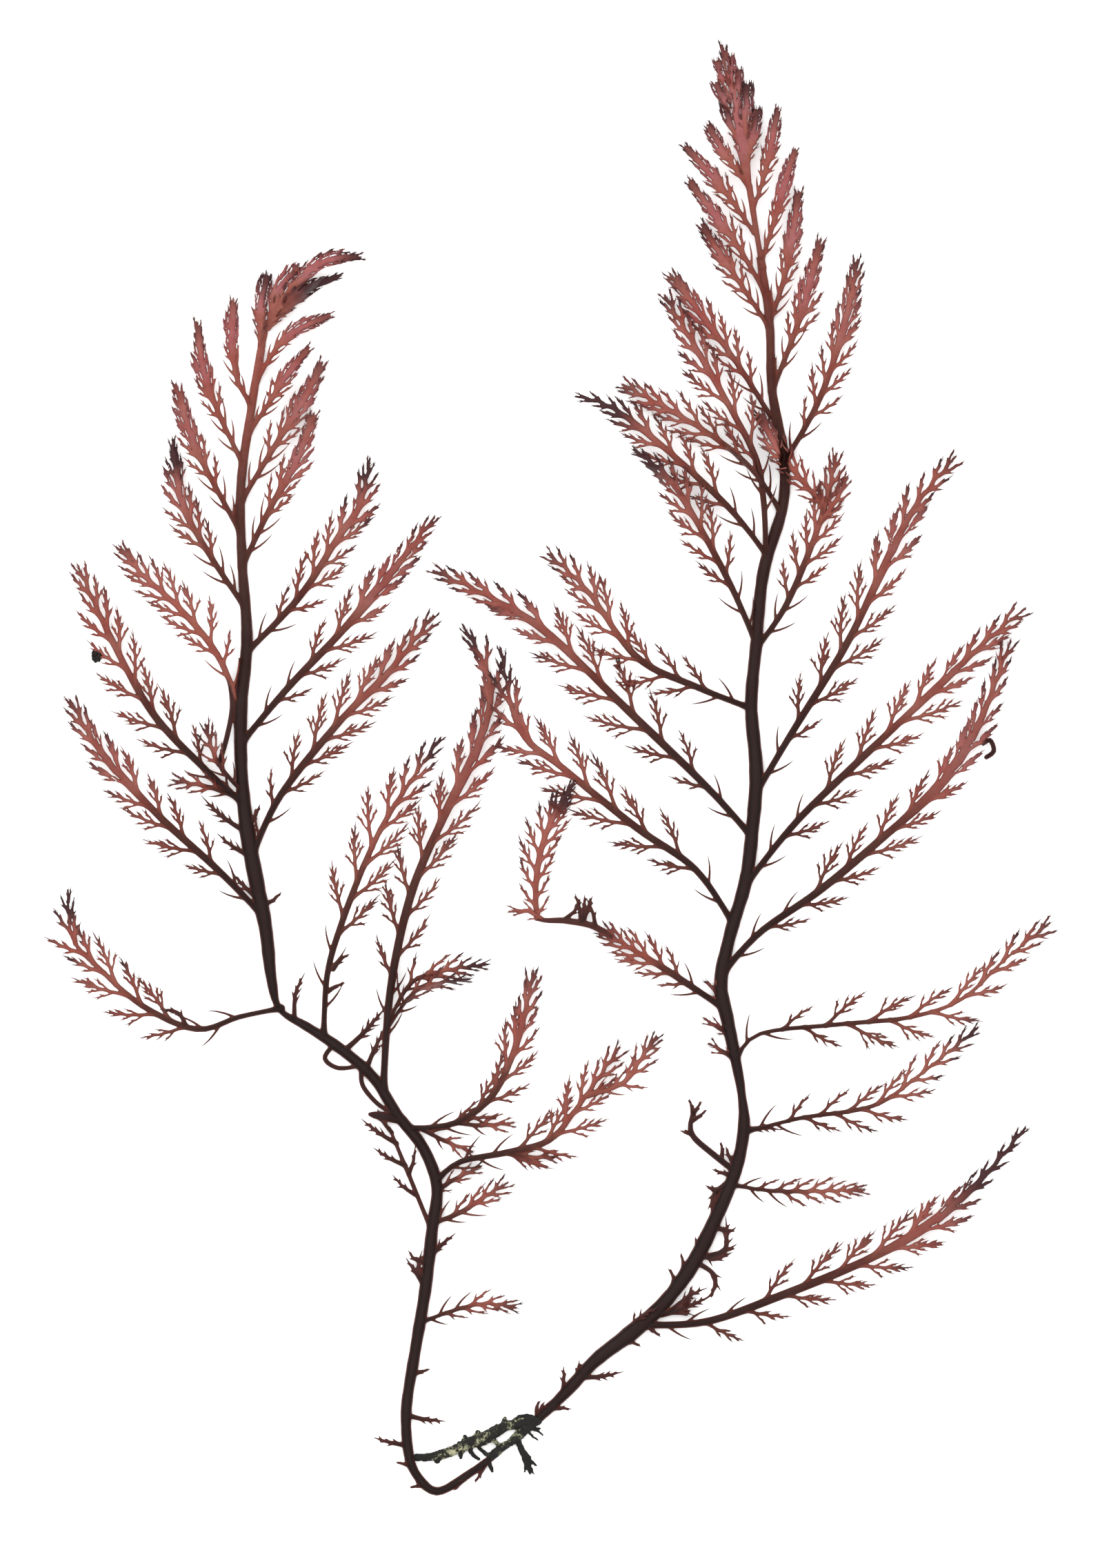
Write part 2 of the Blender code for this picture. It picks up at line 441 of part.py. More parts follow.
def stem(name, axis, collection):
    """A stem with a flat underside on the sheet and a low rounded back."""
    route = smooth_route(axis, STEM_RING_STEP)
    sides = len(STEM_SECTION)
    corners, faces = [], []
    for (x, y, width), direction in zip(route, directions(route)):
        across = Vector((-direction.y, direction.x))
        height = max(STEM_LOWEST_HEIGHT, STEM_FLATNESS * width)
        corners += [placed(Vector((x, y)) - across * a * width, h * height) for a, h in STEM_SECTION]
    for ring in range(len(route) - 1):
        for k in range(sides):
            low, high = ring * sides + k, ring * sides + (k + 1) % sides
            faces.append((low, high, high + sides, low + sides)[::-1])
    last = (len(route) - 1) * sides
    faces.append(list(range(sides)))
    faces.append([last + k for k in range(sides)][::-1])
    return mesh_object(name, corners, faces, collection)


def spine(name, width, points, ribs, collection):
    """A single pointed blade with no branchlets."""
    rib = Rib(points, SPINE_LIFT, BLADE_LOWEST, root_height(points[0], ribs))
    left, right = [], []
    for point, along, direction in zip(rib.route[:-1], rib.along, directions(rib.route)):
        across = Vector((-direction.y, direction.x)) * 0.5 * width * (1 - SPINE_TAPER * along / rib.length)
        left.append(point + across)
        right.append(point - across)
    return blade(name, [right + [rib.route[-1]] + left[::-1]], rib, collection)


def spray(name, recipe, seed, ribs, collection):
    """A rib with its alternate branchlets in one blade; past the middle, every second pair is left out."""
    lift, tip_height, bare, width, points = recipe
    rib = Rib(points, lift, tip_height, root_height(points[0], ribs))
    outlines = [rib_outline(rib, width)]
    for number, (distance, side, reach, angle) in enumerate(branchlets(rib.length, bare, seed)):
        crowded = distance > CROWDED_FROM * rib.length
        if not crowded or number % 4 < 2:
            outlines.append(branchlet_outline(rib, distance, side, reach, angle))
    blade(name, outlines, rib, collection)
    return rib


def united(body, repeats, finish):
    """The body with everything in the collection joined on to it by one union."""
    union = body.modifiers.new("union", "BOOLEAN")
    union.operation = "UNION"
    union.operand_type = "COLLECTION"
    union.collection = repeats
    union.solver = "MANIFOLD"
    bpy.context.view_layer.update()
    joined = bpy.data.meshes.new_from_object(body.evaluated_get(bpy.context.evaluated_depsgraph_get()))
    body.modifiers.remove(union)
    body.data = joined
    for obj in list(repeats.objects):
        bpy.data.objects.remove(obj, do_unlink=True)
    bpy.data.collections.remove(repeats)
    body.data.materials.clear()
    body.data.materials.append(finish)
    return body


def frond(name, axis, sprays, spines, finish):
    scene = bpy.context.scene.collection
    repeats = bpy.data.collections.new(name + "_repeats")
    scene.children.link(repeats)
    body = stem(name, axis, scene)
    ribs = []
    for number, recipe in enumerate(sprays):
        ribs.append(spray(f"{name}_spray_{number}", recipe, number, ribs, repeats))
    for number, (width, points) in enumerate(spines):
        spine(f"{name}_spine_{number}", width, points, ribs, repeats)
    return united(body, repeats, finish)


def crust_lump(name, place, radius, height, collection):
    shape = bmesh.new()
    bmesh.ops.create_icosphere(shape, subdivisions=1, radius=radius * MM)
    mesh = bpy.data.meshes.new(name)
    shape.to_mesh(mesh)
    shape.free()
    centre = placed(place, height)
    for corner in mesh.vertices:
        corner.co = corner.co + centre
    obj = bpy.data.objects.new(name, mesh)
    collection.objects.link(obj)
    return obj


def holdfast(name, finish):
    """The creeping strand, with spurs below it and lumps of crust drawn at random along it."""
    scene = bpy.context.scene.collection
    repeats = bpy.data.collections.new(name + "_repeats")
    scene.children.link(repeats)
    body = stem(name, STRAND, scene)
    for number, (width, points) in enumerate(STRAND_SPURS):
        spine(f"{name}_spur_{number}", width, points, [], repeats)
    draw = random.Random(CRUST_SEED)
    rib = Rib(STRAND, 0.0, 0.0, step=1.0)
    for number in range(CRUST_LUMPS):
        point, direction = rib.at(rib.length * (number + 0.7) / (CRUST_LUMPS + 0.4))
        across = Vector((-direction.y, direction.x)) * draw.uniform(-CRUST_LUMP_SPREAD, CRUST_LUMP_SPREAD)
        radius = draw.uniform(*CRUST_LUMP_RADII)
        crust_lump(f"{name}_lump_{number}", point + across, radius, CRUST_LUMP_CLEARANCE + radius, repeats)
    return united(body, repeats, finish)


clear_scene()
frond("left_frond", LEFT_AXIS, LEFT_SPRAYS, LEFT_SPINES, material("left_frond_tissue", LEFT_FROND_COLOUR, 0.45))
frond("right_frond", RIGHT_AXIS, RIGHT_SPRAYS, RIGHT_SPINES, material("right_frond_tissue", RIGHT_FROND_COLOUR, 0.45))
holdfast("holdfast", material("crusted_holdfast", CRUST_COLOUR, 0.8))
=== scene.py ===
import math
import random

import bpy
import numpy as np
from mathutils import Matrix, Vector


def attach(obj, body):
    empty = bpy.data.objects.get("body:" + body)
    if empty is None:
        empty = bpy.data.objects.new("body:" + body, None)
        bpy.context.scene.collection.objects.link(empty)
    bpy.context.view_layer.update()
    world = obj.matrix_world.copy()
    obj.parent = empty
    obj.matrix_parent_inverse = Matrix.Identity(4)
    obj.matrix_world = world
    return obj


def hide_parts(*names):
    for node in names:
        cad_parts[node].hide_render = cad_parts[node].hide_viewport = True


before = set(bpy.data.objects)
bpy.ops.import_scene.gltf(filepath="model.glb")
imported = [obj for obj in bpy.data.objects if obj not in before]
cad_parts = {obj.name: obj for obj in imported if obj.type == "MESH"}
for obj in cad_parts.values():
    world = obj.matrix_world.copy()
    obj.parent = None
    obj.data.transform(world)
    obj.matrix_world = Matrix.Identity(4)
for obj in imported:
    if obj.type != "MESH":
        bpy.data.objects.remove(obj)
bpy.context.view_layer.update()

bpy.ops.object.select_all(action="DESELECT")


# The left frond: one main stem with an arched foot, its long flat sprays, and small spines along the stem.
# It is damp red-algal tissue that grew as one sheet, so every spray runs into the stem with rounded armpits.
# It is laid as a plant is spread for pressing: spray by spray, later ones draped over earlier ones.
MM = 0.001
SHEET_CENTRE = (-0.52, 59.70)  # the origin of the frame, on the sheet that the plant lies on

# Stem: x, y and width in millimetres on the sheet, from the end of the arched foot up to the curled tip.
LEFT_STEM = [
    (-5.0, 3.8, 0.50), (-7.3, 2.1, 0.65), (-10.1, 0.55, 0.70), (-11.9, 2.1, 0.75), (-12.5, 4.2, 0.85),
    (-12.6, 7.5, 0.90), (-11.9, 12.0, 0.95), (-11.0, 17.5, 1.00), (-10.5, 22.0, 1.00), (-10.1, 25.5, 0.95),
    (-11.2, 28.7, 0.95), (-13.3, 31.4, 0.90), (-15.4, 34.6, 0.90), (-18.2, 37.0, 0.90), (-20.8, 38.7, 0.75),
    (-23.0, 40.1, 0.50), (-23.7, 42.7, 0.90), (-24.2, 47.0, 1.15), (-25.5, 53.7, 1.30), (-26.1, 59.0, 1.05),
    (-26.2, 64.7, 1.10), (-25.7, 70.5, 0.95), (-26.1, 77.0, 0.80), (-26.2, 83.0, 0.75), (-25.4, 89.0, 0.70),
    (-24.6, 94.0, 0.60), (-24.2, 95.6, 0.45),
]

# Sprays: lift of the arch, height of the tip, bare length at the foot, width of the rib, how webbed the
# outer part is, how dark the tips are, and the route of the rib. Past a darkness of one the whole end of the
# spray is dark, and the more so the further down.
LEFT_SPRAYS = [
    (1.4, 0.40, 2.0, 0.75, 0.5, 0.6, [
        (-24.5, 47.9), (-28.1, 51.6), (-33.0, 56.1), (-37.7, 61.3), (-40.2, 65.5)]),
    (0.9, 0.50, 2.0, 0.75, 0.3, 0.3, [
        (-26.0, 57.0), (-29.2, 59.9), (-33.4, 64.4), (-36.8, 70.5), (-39.6, 76.6)]),
    (1.5, 0.40, 1.8, 0.65, 0.2, 0.4, [
        (-26.3, 65.0), (-28.1, 69.2), (-31.0, 72.8), (-34.6, 76.1), (-36.1, 78.1)]),
    (0.9, 0.50, 1.8, 0.60, 0.6, 1.8, [(-25.8, 73.0), (-28.8, 77.5), (-31.0, 81.7), (-31.8, 86.9)]),
    (1.5, 0.40, 1.6, 0.55, 0.7, 0.4, [(-26.2, 79.2), (-28.8, 84.0), (-30.2, 87.0), (-31.5, 91.4)]),
    (0.8, 0.50, 1.4, 0.50, 0.8, 0.5, [(-26.0, 84.8), (-28.0, 89.0), (-29.2, 92.5), (-29.8, 96.5)]),
    (1.0, 0.45, 1.2, 0.45, 0.9, 0.3, [(-25.4, 89.8), (-26.5, 91.8), (-26.9, 95.0), (-26.8, 98.4)]),
    (0.9, 0.40, 2.0, 0.75, 0.4, 0.6, [
        (-25.3, 52.6), (-22.9, 57.7), (-18.0, 63.8), (-14.2, 67.6), (-10.4, 72.4)]),
    (1.5, 0.50, 2.0, 0.75, 0.6, 0.6, [
        (-26.1, 62.0), (-22.3, 66.5), (-17.8, 71.2), (-14.4, 75.2), (-10.3, 80.5)]),
    (0.9, 0.40, 1.8, 0.70, 0.4, 1.4, [
        (-25.8, 69.3), (-21.4, 73.9), (-18.2, 78.8), (-16.4, 81.5), (-15.6, 85.3)]),
    (1.4, 0.50, 1.6, 0.60, 0.7, 0.3, [(-26.1, 76.4), (-23.6, 81.5), (-21.6, 85.0), (-20.2, 89.0)]),
    (0.8, 0.40, 1.5, 0.55, 0.7, 0.5, [(-26.1, 81.9), (-23.4, 86.3), (-21.0, 90.2), (-19.5, 93.2)]),
    (1.3, 0.50, 1.2, 0.45, 0.8, 0.3, [(-25.5, 87.5), (-24.0, 89.6), (-22.2, 92.4), (-20.6, 94.4)]),
    (0.8, 0.40, 1.2, 0.45, 0.9, 0.4, [(-24.9, 91.7), (-22.9, 94.8), (-20.8, 96.2), (-18.9, 97.0)]),
    (1.6, 0.80, 0.6, 0.65, 1.0, 0.8, [
        (-24.0, 96.2), (-22.6, 98.4), (-20.4, 100.8), (-18.6, 101.6), (-16.4, 101.8)]),
    (0.5, 0.40, 0.5, 0.70, 1.0, 3.0, [(-24.0, 96.0), (-22.3, 97.9), (-20.3, 99.4), (-18.0, 100.3)]),
    (0.9, 0.45, 0.5, 0.50, 1.0, 0.8, [(-24.5, 94.6), (-24.6, 97.4), (-24.0, 100.3)]),
    (0.7, 0.50, 0.4, 0.50, 1.0, 0.2, [(-23.8, 96.5), (-23.2, 98.9), (-21.5, 100.9)]),
    (1.2, 0.50, 4.0, 0.60, 0.2, 1.6, [
        (-22.9, 40.2), (-26.3, 39.5), (-29.8, 38.5), (-34.2, 40.4), (-37.8, 43.5), (-40.0, 46.0),
        (-40.4, 49.9)]),
    (1.3, 0.40, 2.5, 0.65, 0.2, 1.5, [
        (-19.4, 38.0), (-19.1, 42.9), (-18.0, 46.9), (-16.0, 52.1), (-13.9, 56.3), (-9.8, 62.4)]),
    (0.9, 0.36, 4.5, 0.85, 0.5, 1.6, [
        (-14.5, 33.7), (-13.9, 41.8), (-12.2, 49.6), (-9.5, 56.0), (-6.7, 61.8), (-5.7, 66.9),
        (-8.0, 71.7)]),
    (1.6, 0.60, 1.6, 0.42, 0.0, 1.4, [(-14.0, 39.2), (-12.2, 42.3), (-9.5, 43.3), (-5.9, 43.8)]),
    (0.5, 0.40, 1.6, 0.38, 0.0, 1.4, [(-14.0, 38.8), (-12.0, 41.5), (-9.9, 42.3), (-7.4, 42.6)]),
    (1.2, 0.40, 2.0, 0.65, 0.4, 0.6, [
        (-12.4, 30.3), (-8.6, 30.8), (-5.6, 33.0), (-3.8, 36.6), (-2.7, 40.6), (-2.2, 43.3)]),
    (0.4, 0.40, 0.8, 0.40, 0.0, 0.2, [(-8.4, 30.8), (-6.5, 30.6), (-3.8, 30.8)]),
    (0.4, 0.40, 0.8, 0.40, 0.0, 0.2, [(-11.2, 30.2), (-9.4, 29.3), (-7.2, 28.4)]),
    (1.1, 0.40, 2.0, 0.65, 0.1, 0.4, [
        (-10.2, 26.0), (-8.2, 27.6), (-4.3, 28.4), (-0.9, 29.4), (1.3, 31.9), (4.9, 37.0)]),
    (0.5, 0.40, 1.0, 0.45, 0.1, 0.6, [(2.3, 33.0), (5.2, 34.1), (6.4, 35.7), (7.9, 37.9)]),
    (0.4, 0.40, 0.8, 0.40, 0.0, 0.4, [(-4.4, 28.4), (-2.3, 28.0), (-0.3, 28.0)]),
    (0.6, 0.40, 0.6, 0.40, 0.0, 0.5, [(-10.2, 25.1), (-8.8, 26.1), (-6.5, 27.2)]),
    (0.7, 0.40, 0.8, 0.50, 0.0, 0.5, [(-10.5, 22.5), (-8.1, 23.5), (-6.4, 24.6), (-4.3, 25.9)]),
    (0.8, 0.40, 1.2, 0.40, 0.0, 0.6, [(-11.5, 14.4), (-8.5, 15.5), (-6.0, 16.0), (-3.6, 15.6)]),
    (0.7, 0.40, 1.0, 0.45, 0.0, 0.6, [(-26.1, 57.3), (-28.6, 58.3), (-31.8, 58.9)]),
    (1.0, 0.50, 1.2, 0.45, 0.0, 0.7, [(-26.1, 58.0), (-28.1, 60.4), (-29.1, 63.5)]),
]

# Single spines, curls and broken stubs: width at the foot, then the route to the point.
LEFT_SPINES = [
    (0.50, [(-12.1, 10.2), (-10.6, 10.6)]),
    (0.50, [(-12.5, 6.8), (-11.2, 6.5), (-9.3, 6.3)]),
    (0.50, [(-12.4, 4.3), (-14.0, 4.6), (-15.4, 5.0)]),
    (0.50, [(-12.0, 2.6), (-13.5, 3.0)]),
    (0.50, [(-11.0, 1.1), (-12.4, 0.9)]),
    (0.50, [(-11.0, 17.4), (-11.9, 18.6), (-12.7, 19.8)]),
    (0.45, [(-10.9, 19.3), (-11.9, 19.6), (-12.5, 20.4)]),
    (0.55, [(-10.9, 19.6), (-9.7, 20.8), (-8.5, 21.8)]),
    (0.50, [(-25.7, 54.6), (-27.8, 56.0), (-29.5, 57.7)]),
    (0.50, [(-25.3, 52.6), (-26.9, 53.5), (-28.2, 54.6)]),
    (0.50, [(-24.6, 49.0), (-25.9, 50.2), (-26.9, 51.3)]),
    (0.50, [(-25.7, 55.1), (-25.0, 56.0), (-24.6, 57.0)]),
    (0.45, [(-24.3, 48.7), (-23.5, 49.1), (-22.8, 49.8)]),
    (0.55, [(-17.6, 36.8), (-16.1, 38.2), (-14.2, 40.4)]),
    (0.50, [(-15.9, 35.2), (-15.2, 36.9), (-14.2, 38.8)]),
    (0.40, [(-11.9, 24.9), (-12.9, 25.6), (-13.8, 26.6)]),
    (0.45, [(-12.7, 27.3), (-14.0, 27.9), (-15.4, 28.8)]),
    (0.40, [(-12.4, 26.6), (-12.0, 27.8), (-11.9, 28.9)]),
    (0.45, [(-13.4, 29.1), (-14.9, 30.0), (-16.4, 31.2)]),
    (0.40, [(-13.8, 30.0), (-14.6, 31.0), (-15.0, 32.0)]),
    (0.40, [(-7.6, 1.9), (-8.2, 1.2), (-8.7, 0.6)]),
    (0.40, [(-6.1, 2.8), (-6.6, 1.9), (-7.0, 1.2)]),
    (0.45, [(-21.8, 39.4), (-21.7, 41.4), (-20.9, 43.2)]),
    (0.45, [(-19.0, 41.6), (-18.4, 42.0), (-17.6, 42.3)]),
    (0.45, [(-18.6, 43.4), (-18.0, 44.2), (-17.2, 44.7)]),
    (0.40, [(-30.6, 38.7), (-31.4, 39.9), (-32.9, 40.1)]),
    (0.40, [(-11.1, 17.3), (-11.7, 18.6), (-11.3, 20.4)]),
]

# Bare straps, cut and broken ends, and parts that have lost their branchlets: width, age and route.
LEFT_STRAPS = [
    (0.90, 0.9, [(-12.9, 31.0), (-14.3, 31.3), (-15.6, 31.5)]),
    (0.45, 0.9, [(-16.3, 35.4), (-16.2, 33.9), (-15.0, 32.4), (-13.5, 31.4)]),
    (0.45, 0.9, [(-18.6, 37.2), (-19.3, 36.1), (-18.2, 35.3), (-16.2, 35.5)]),
    (0.42, 0.6, [(-10.7, 22.3), (-12.1, 25.8), (-13.1, 28.2), (-14.0, 30.4)]),
    (0.50, 0.7, [(-28.0, 60.2), (-27.3, 62.6), (-26.9, 65.0), (-27.2, 67.2)]),
]

# The outline is drawn on a fine square net over the sheet: each stroke adds to the tissue near it, so
# strokes that meet flow together and leave rounded armpits, and the tissue's edge is where the sum is one.
NET = 0.08
NET_LOW = (-43.0, -2.5)
NET_COUNT = (1075, 1575)
BLENDING = 24.0  # for each millimetre: lower makes wider armpits
STROKE_MARGIN = 0.45
SLIT_MARGIN = 0.3
TISSUE_EDGE = 1.0
FAR_OFF = 9.0  # millimetres; further than any stroke is felt
DEEP_INSIDE = -1.2
TINY = 1e-9
LEAST_TOTAL = 1e-12
# What the tissue carries with it: middle height, half thickness, age, how dark and how webbed it is, the
# place along and across the rib, and how much painted shade it gets where other tissue lies under it, for
# the darker look of a doubled layer.
CARRIED = ("height", "thick", "age", "tip", "web", "along", "across", "under")
HEIGHT, THICK, AGE, UNDER = (CARRIED.index(key) for key in ("height", "thick", "age", "under"))


def clamp(value, low, high):
    return max(low, min(high, value))


def smooth_route(points, step):
    """A curve through the points; a third value, such as a width, is carried along."""
    size = len(points[0])
    ends = [points[0]] + list(points) + [points[-1]]
    route = []
    for before, start, end, after in zip(ends, ends[1:], ends[2:], ends[3:]):
        parts = max(1, round(math.dist(start[:2], end[:2]) / step))
        for part in range(parts):
            t = part / parts
            route.append(tuple(
                0.5 * (2 * start[k] + (end[k] - before[k]) * t
                       + (2 * before[k] - 5 * start[k] + 4 * end[k] - after[k]) * t ** 2
                       + (3 * start[k] - before[k] - 3 * end[k] + after[k]) * t ** 3)
                for k in range(size)))
    return route + [tuple(points[-1])]


def turned(direction, angle):
    cosine, sine = math.cos(angle), math.sin(angle)
    return Vector((cosine * direction.x - sine * direction.y, sine * direction.x + cosine * direction.y))


class Patch:
    """Part of the net, with the tissue drawn on it so far and the values that it carries."""

    def __init__(self, low, high):
        self.first = [max(0, int((low[k] - NET_LOW[k]) / NET)) for k in (0, 1)]
        last = [min(NET_COUNT[k], int((high[k] - NET_LOW[k]) / NET) + 2) for k in (0, 1)]
        shape = (last[0] - self.first[0], last[1] - self.first[1])
        self.window = (slice(self.first[0], last[0]), slice(self.first[1], last[1]))
        self.total = np.zeros(shape)
        self.values = np.zeros(shape + (len(CARRIED),))
        self.slits = []
        self.x = NET_LOW[0] + NET * np.arange(self.first[0], last[0])
        self.y = NET_LOW[1] + NET * np.arange(self.first[1], last[1])

    def measured(self, points, margin):
        """The least distance to a tapered line, and what the line carries there, for the cells near it."""
        low = points[:, :2].min(0) - margin
        high = points[:, :2].max(0) + margin
        i0, i1 = np.searchsorted(self.x, (low[0], high[0]))
        j0, j1 = np.searchsorted(self.y, (low[1], high[1]))
        nearest = np.full((i1 - i0, j1 - j0), FAR_OFF)
        found = np.zeros(nearest.shape + (points.shape[1] - 2,))
        for start, end in zip(points, points[1:]):
            run = end[:2] - start[:2]
            lows = np.minimum(start[:2], end[:2]) - margin
            highs = np.maximum(start[:2], end[:2]) + margin
            a0, a1 = np.searchsorted(self.x[i0:i1], (lows[0], highs[0]))
            b0, b1 = np.searchsorted(self.y[j0:j1], (lows[1], highs[1]))
            dx = self.x[i0 + a0:i0 + a1, None] - start[0]
            dy = self.y[None, j0 + b0:j0 + b1] - start[1]
            share = np.clip((dx * run[0] + dy * run[1]) / max(TINY, run @ run), 0.0, 1.0)
            half = start[2] + share * (end[2] - start[2])
            gap = np.hypot(dx - share * run[0], dy - share * run[1]) - half
            closer = gap < nearest[a0:a1, b0:b1]
            nearest[a0:a1, b0:b1][closer] = gap[closer]
            share = share[closer][:, None]
            carried = start[3:] + share * (end[3:] - start[3:])
            across = (run[0] * dy - run[1] * dx) / math.sqrt(max(TINY, run @ run))
            found[a0:a1, b0:b1][closer] = np.hstack([carried, across[closer][:, None]])
        return (slice(i0, i1), slice(j0, j1)), nearest, found

    def stroke(self, points):
        """Draws a tapered stroke; each point is x, y, half width and the carried values up to along."""
        points = np.array(points, float)
        window, nearest, found = self.measured(points, STROKE_MARGIN + points[:, 2].max())
        near = np.clip(nearest, DEEP_INSIDE, FAR_OFF)
        weight = np.where(nearest < FAR_OFF, np.exp(-BLENDING * near), 0.0)
        self.total[window] += weight
        self.values[window][..., :-1] += weight[..., None] * found

    def cut(self, points):
        """Cuts a narrow slit into what is drawn; each point is x, y and half width."""
        window, nearest, _ = self.measured(np.array(points, float), SLIT_MARGIN)
        total = self.total[window]
        wanted = np.exp(BLENDING * np.clip(nearest, -0.5, 1.0))
        kept = np.minimum(TISSUE_EDGE, wanted / np.maximum(total, LEAST_TOTAL))
        total *= kept
        self.values[window] *= kept[..., None]


def new_level():
    """One sheet of tissue over the whole net; sprays that cross others lie on a higher level."""
    return Patch(NET_LOW, [NET_LOW[k] + NET * NET_COUNT[k] for k in (0, 1)])


def add(level, patch):
    level.total[patch.window] += patch.total
    level.values[patch.window] += patch.values


# What lies on the sheet so far: the height of its top side, and how much painted shade it gives to tissue
# laid over it, more where it is old and dark.
laid_top = np.zeros(NET_COUNT)
laid_overlap_shade = np.zeros(NET_COUNT)
CROSSING_AREA = 0.5  # square millimetres of overlap that put a spray on a higher level
FOOT_FREE = 1.8  # a spray starts to lie over what it crosses this far from its foot
DRAPE_GAP = 0.05
DRAPE_REACH = 5  # cells by which a spray starts to rise before it meets what it crosses
DRAPE_SOFTNESS = 3
LEAST_LAID = 0.02  # thinner than this counts as the bare sheet
# Painted shade that a spray gives to tissue laid over it: some over young tissue, more over old.
OVERLAP_SHADE_WHEN_YOUNG = 0.55
OVERLAP_SHADE_WITH_AGE = 0.45


def spread(field, reach):
    """The highest value within reach cells along both ways."""
    for axis in (0, 1):
        found = field.copy()
        for shift in range(1, reach + 1):
            for way in (shift, -shift):
                found = np.maximum(found, np.roll(field, way, axis))
        field = found
    return field


def softened(field, reach):
    """A running mean, twice along both ways."""
    for axis in (0, 1, 0, 1):
        field = sum(np.roll(field, shift, axis) for shift in range(-reach, reach + 1)) / (2 * reach + 1)
    return field


def note_laid(patch):
    """Notes the height of what a patch has put on the sheet, and the painted shade that it gives to tissue
    laid over it.
    """
    tissue = patch.total > TISSUE_EDGE
    total = np.maximum(patch.total, LEAST_TOTAL)
    top = (patch.values[..., HEIGHT] + patch.values[..., THICK]) / total
    # The painted shade that this tissue will give to whatever is laid over it.
    dark = OVERLAP_SHADE_WHEN_YOUNG + OVERLAP_SHADE_WITH_AGE * patch.values[..., AGE] / total
    for laid, value in ((laid_top, top), (laid_overlap_shade, dark)):
        laid[patch.window] = np.maximum(laid[patch.window], np.where(tissue, value, 0.0))


def lay(patch, levels, foot, lobe=False):
    """Puts a spray on the lowest level where it crosses nothing, draped over all that lies below it.
    A lobe of a web belongs to the sheet that it grows from."""
    tissue = patch.total > TISSUE_EDGE
    away = np.hypot(patch.x[:, None] - foot[0], patch.y[None, :] - foot[1])
    clear = np.clip((away - 0.5 * FOOT_FREE) / FOOT_FREE, 0.0, 1.0)
    crossing = tissue & (away > FOOT_FREE)
    number = 0
    for below, level in enumerate(levels):
        shared = crossing & (level.total[patch.window] > TISSUE_EDGE)
        if shared.sum() * NET * NET > CROSSING_AREA and not lobe:
            number = below + 1
    under_other = crossing & (laid_top[patch.window] > 0.0)
    if not lobe and (under_other.sum() * NET * NET > CROSSING_AREA or number):
        total = np.maximum(patch.total, LEAST_TOTAL)
        thick = patch.values[..., THICK] / total
        floor = softened(spread(laid_top[patch.window], DRAPE_REACH), DRAPE_SOFTNESS)
        needed = (floor + thick + DRAPE_GAP) * clear * (floor > LEAST_LAID)
        height = np.maximum(patch.values[..., HEIGHT] / total, needed)
        patch.values[..., HEIGHT] = height * patch.total
        # Painted shade where the spray lies over other tissue, for the darker look of a doubled layer.
        patch.values[..., UNDER] = softened(laid_overlap_shade[patch.window], 1) * clear * patch.total
    while len(levels) <= number:
        levels.append(new_level())
    add(levels[number], patch)
    levels[number].slits += patch.slits
    note_laid(patch)


# Growth: a spray bears branchlets to left and right in turn, longest past its middle and crowded at its tip.
# Each branchlet is a small hand: a stalk with fine teeth to both sides, ending in a bunch of dark points.
RIB_STEP = 0.7
BLADE_HALF_THICKNESS = 0.15
BLADE_DROOP = 0.12  # for each millimetre away from the rib
LEAST_CLEARANCE = 0.02
ROOT_HEIGHT = 0.42
PARENT_REACH = 0.80  # a shoot whose foot is this near to a rib grows from it
OLD_SHARE = 0.62  # of a rib's length, from the foot on
LASTING_AGE = 0.22
YOUNGEST = 0.05
RIB_SWELL = 0.25
RIB_TIP_TAPER = 0.6
PITCH_SHARE = 0.114
PITCH_LIMITS = (1.38, 3.3)
PITCH_IN_WEBS = 0.70
REACH_AT_LEAST = 1.2
REACH_SHARE = 0.12
REACH_MOST = 4.6
RISE_SHARE = 0.25
FALL_FROM = 0.58
TIP_SHORTENING = 0.68
TIP_CROWDING = 0.48
ANGLE_AT_FOOT = 42.0
ANGLE_AT_TIP = 22.0
POINT_HALF_WIDTH = 0.075  # narrower than this, a point is a needle of its own and not part of the sheet
LOBE_BARE = 0.45  # a shoot with less bare length than this is a lobe of the web that it grows from
hairs = []


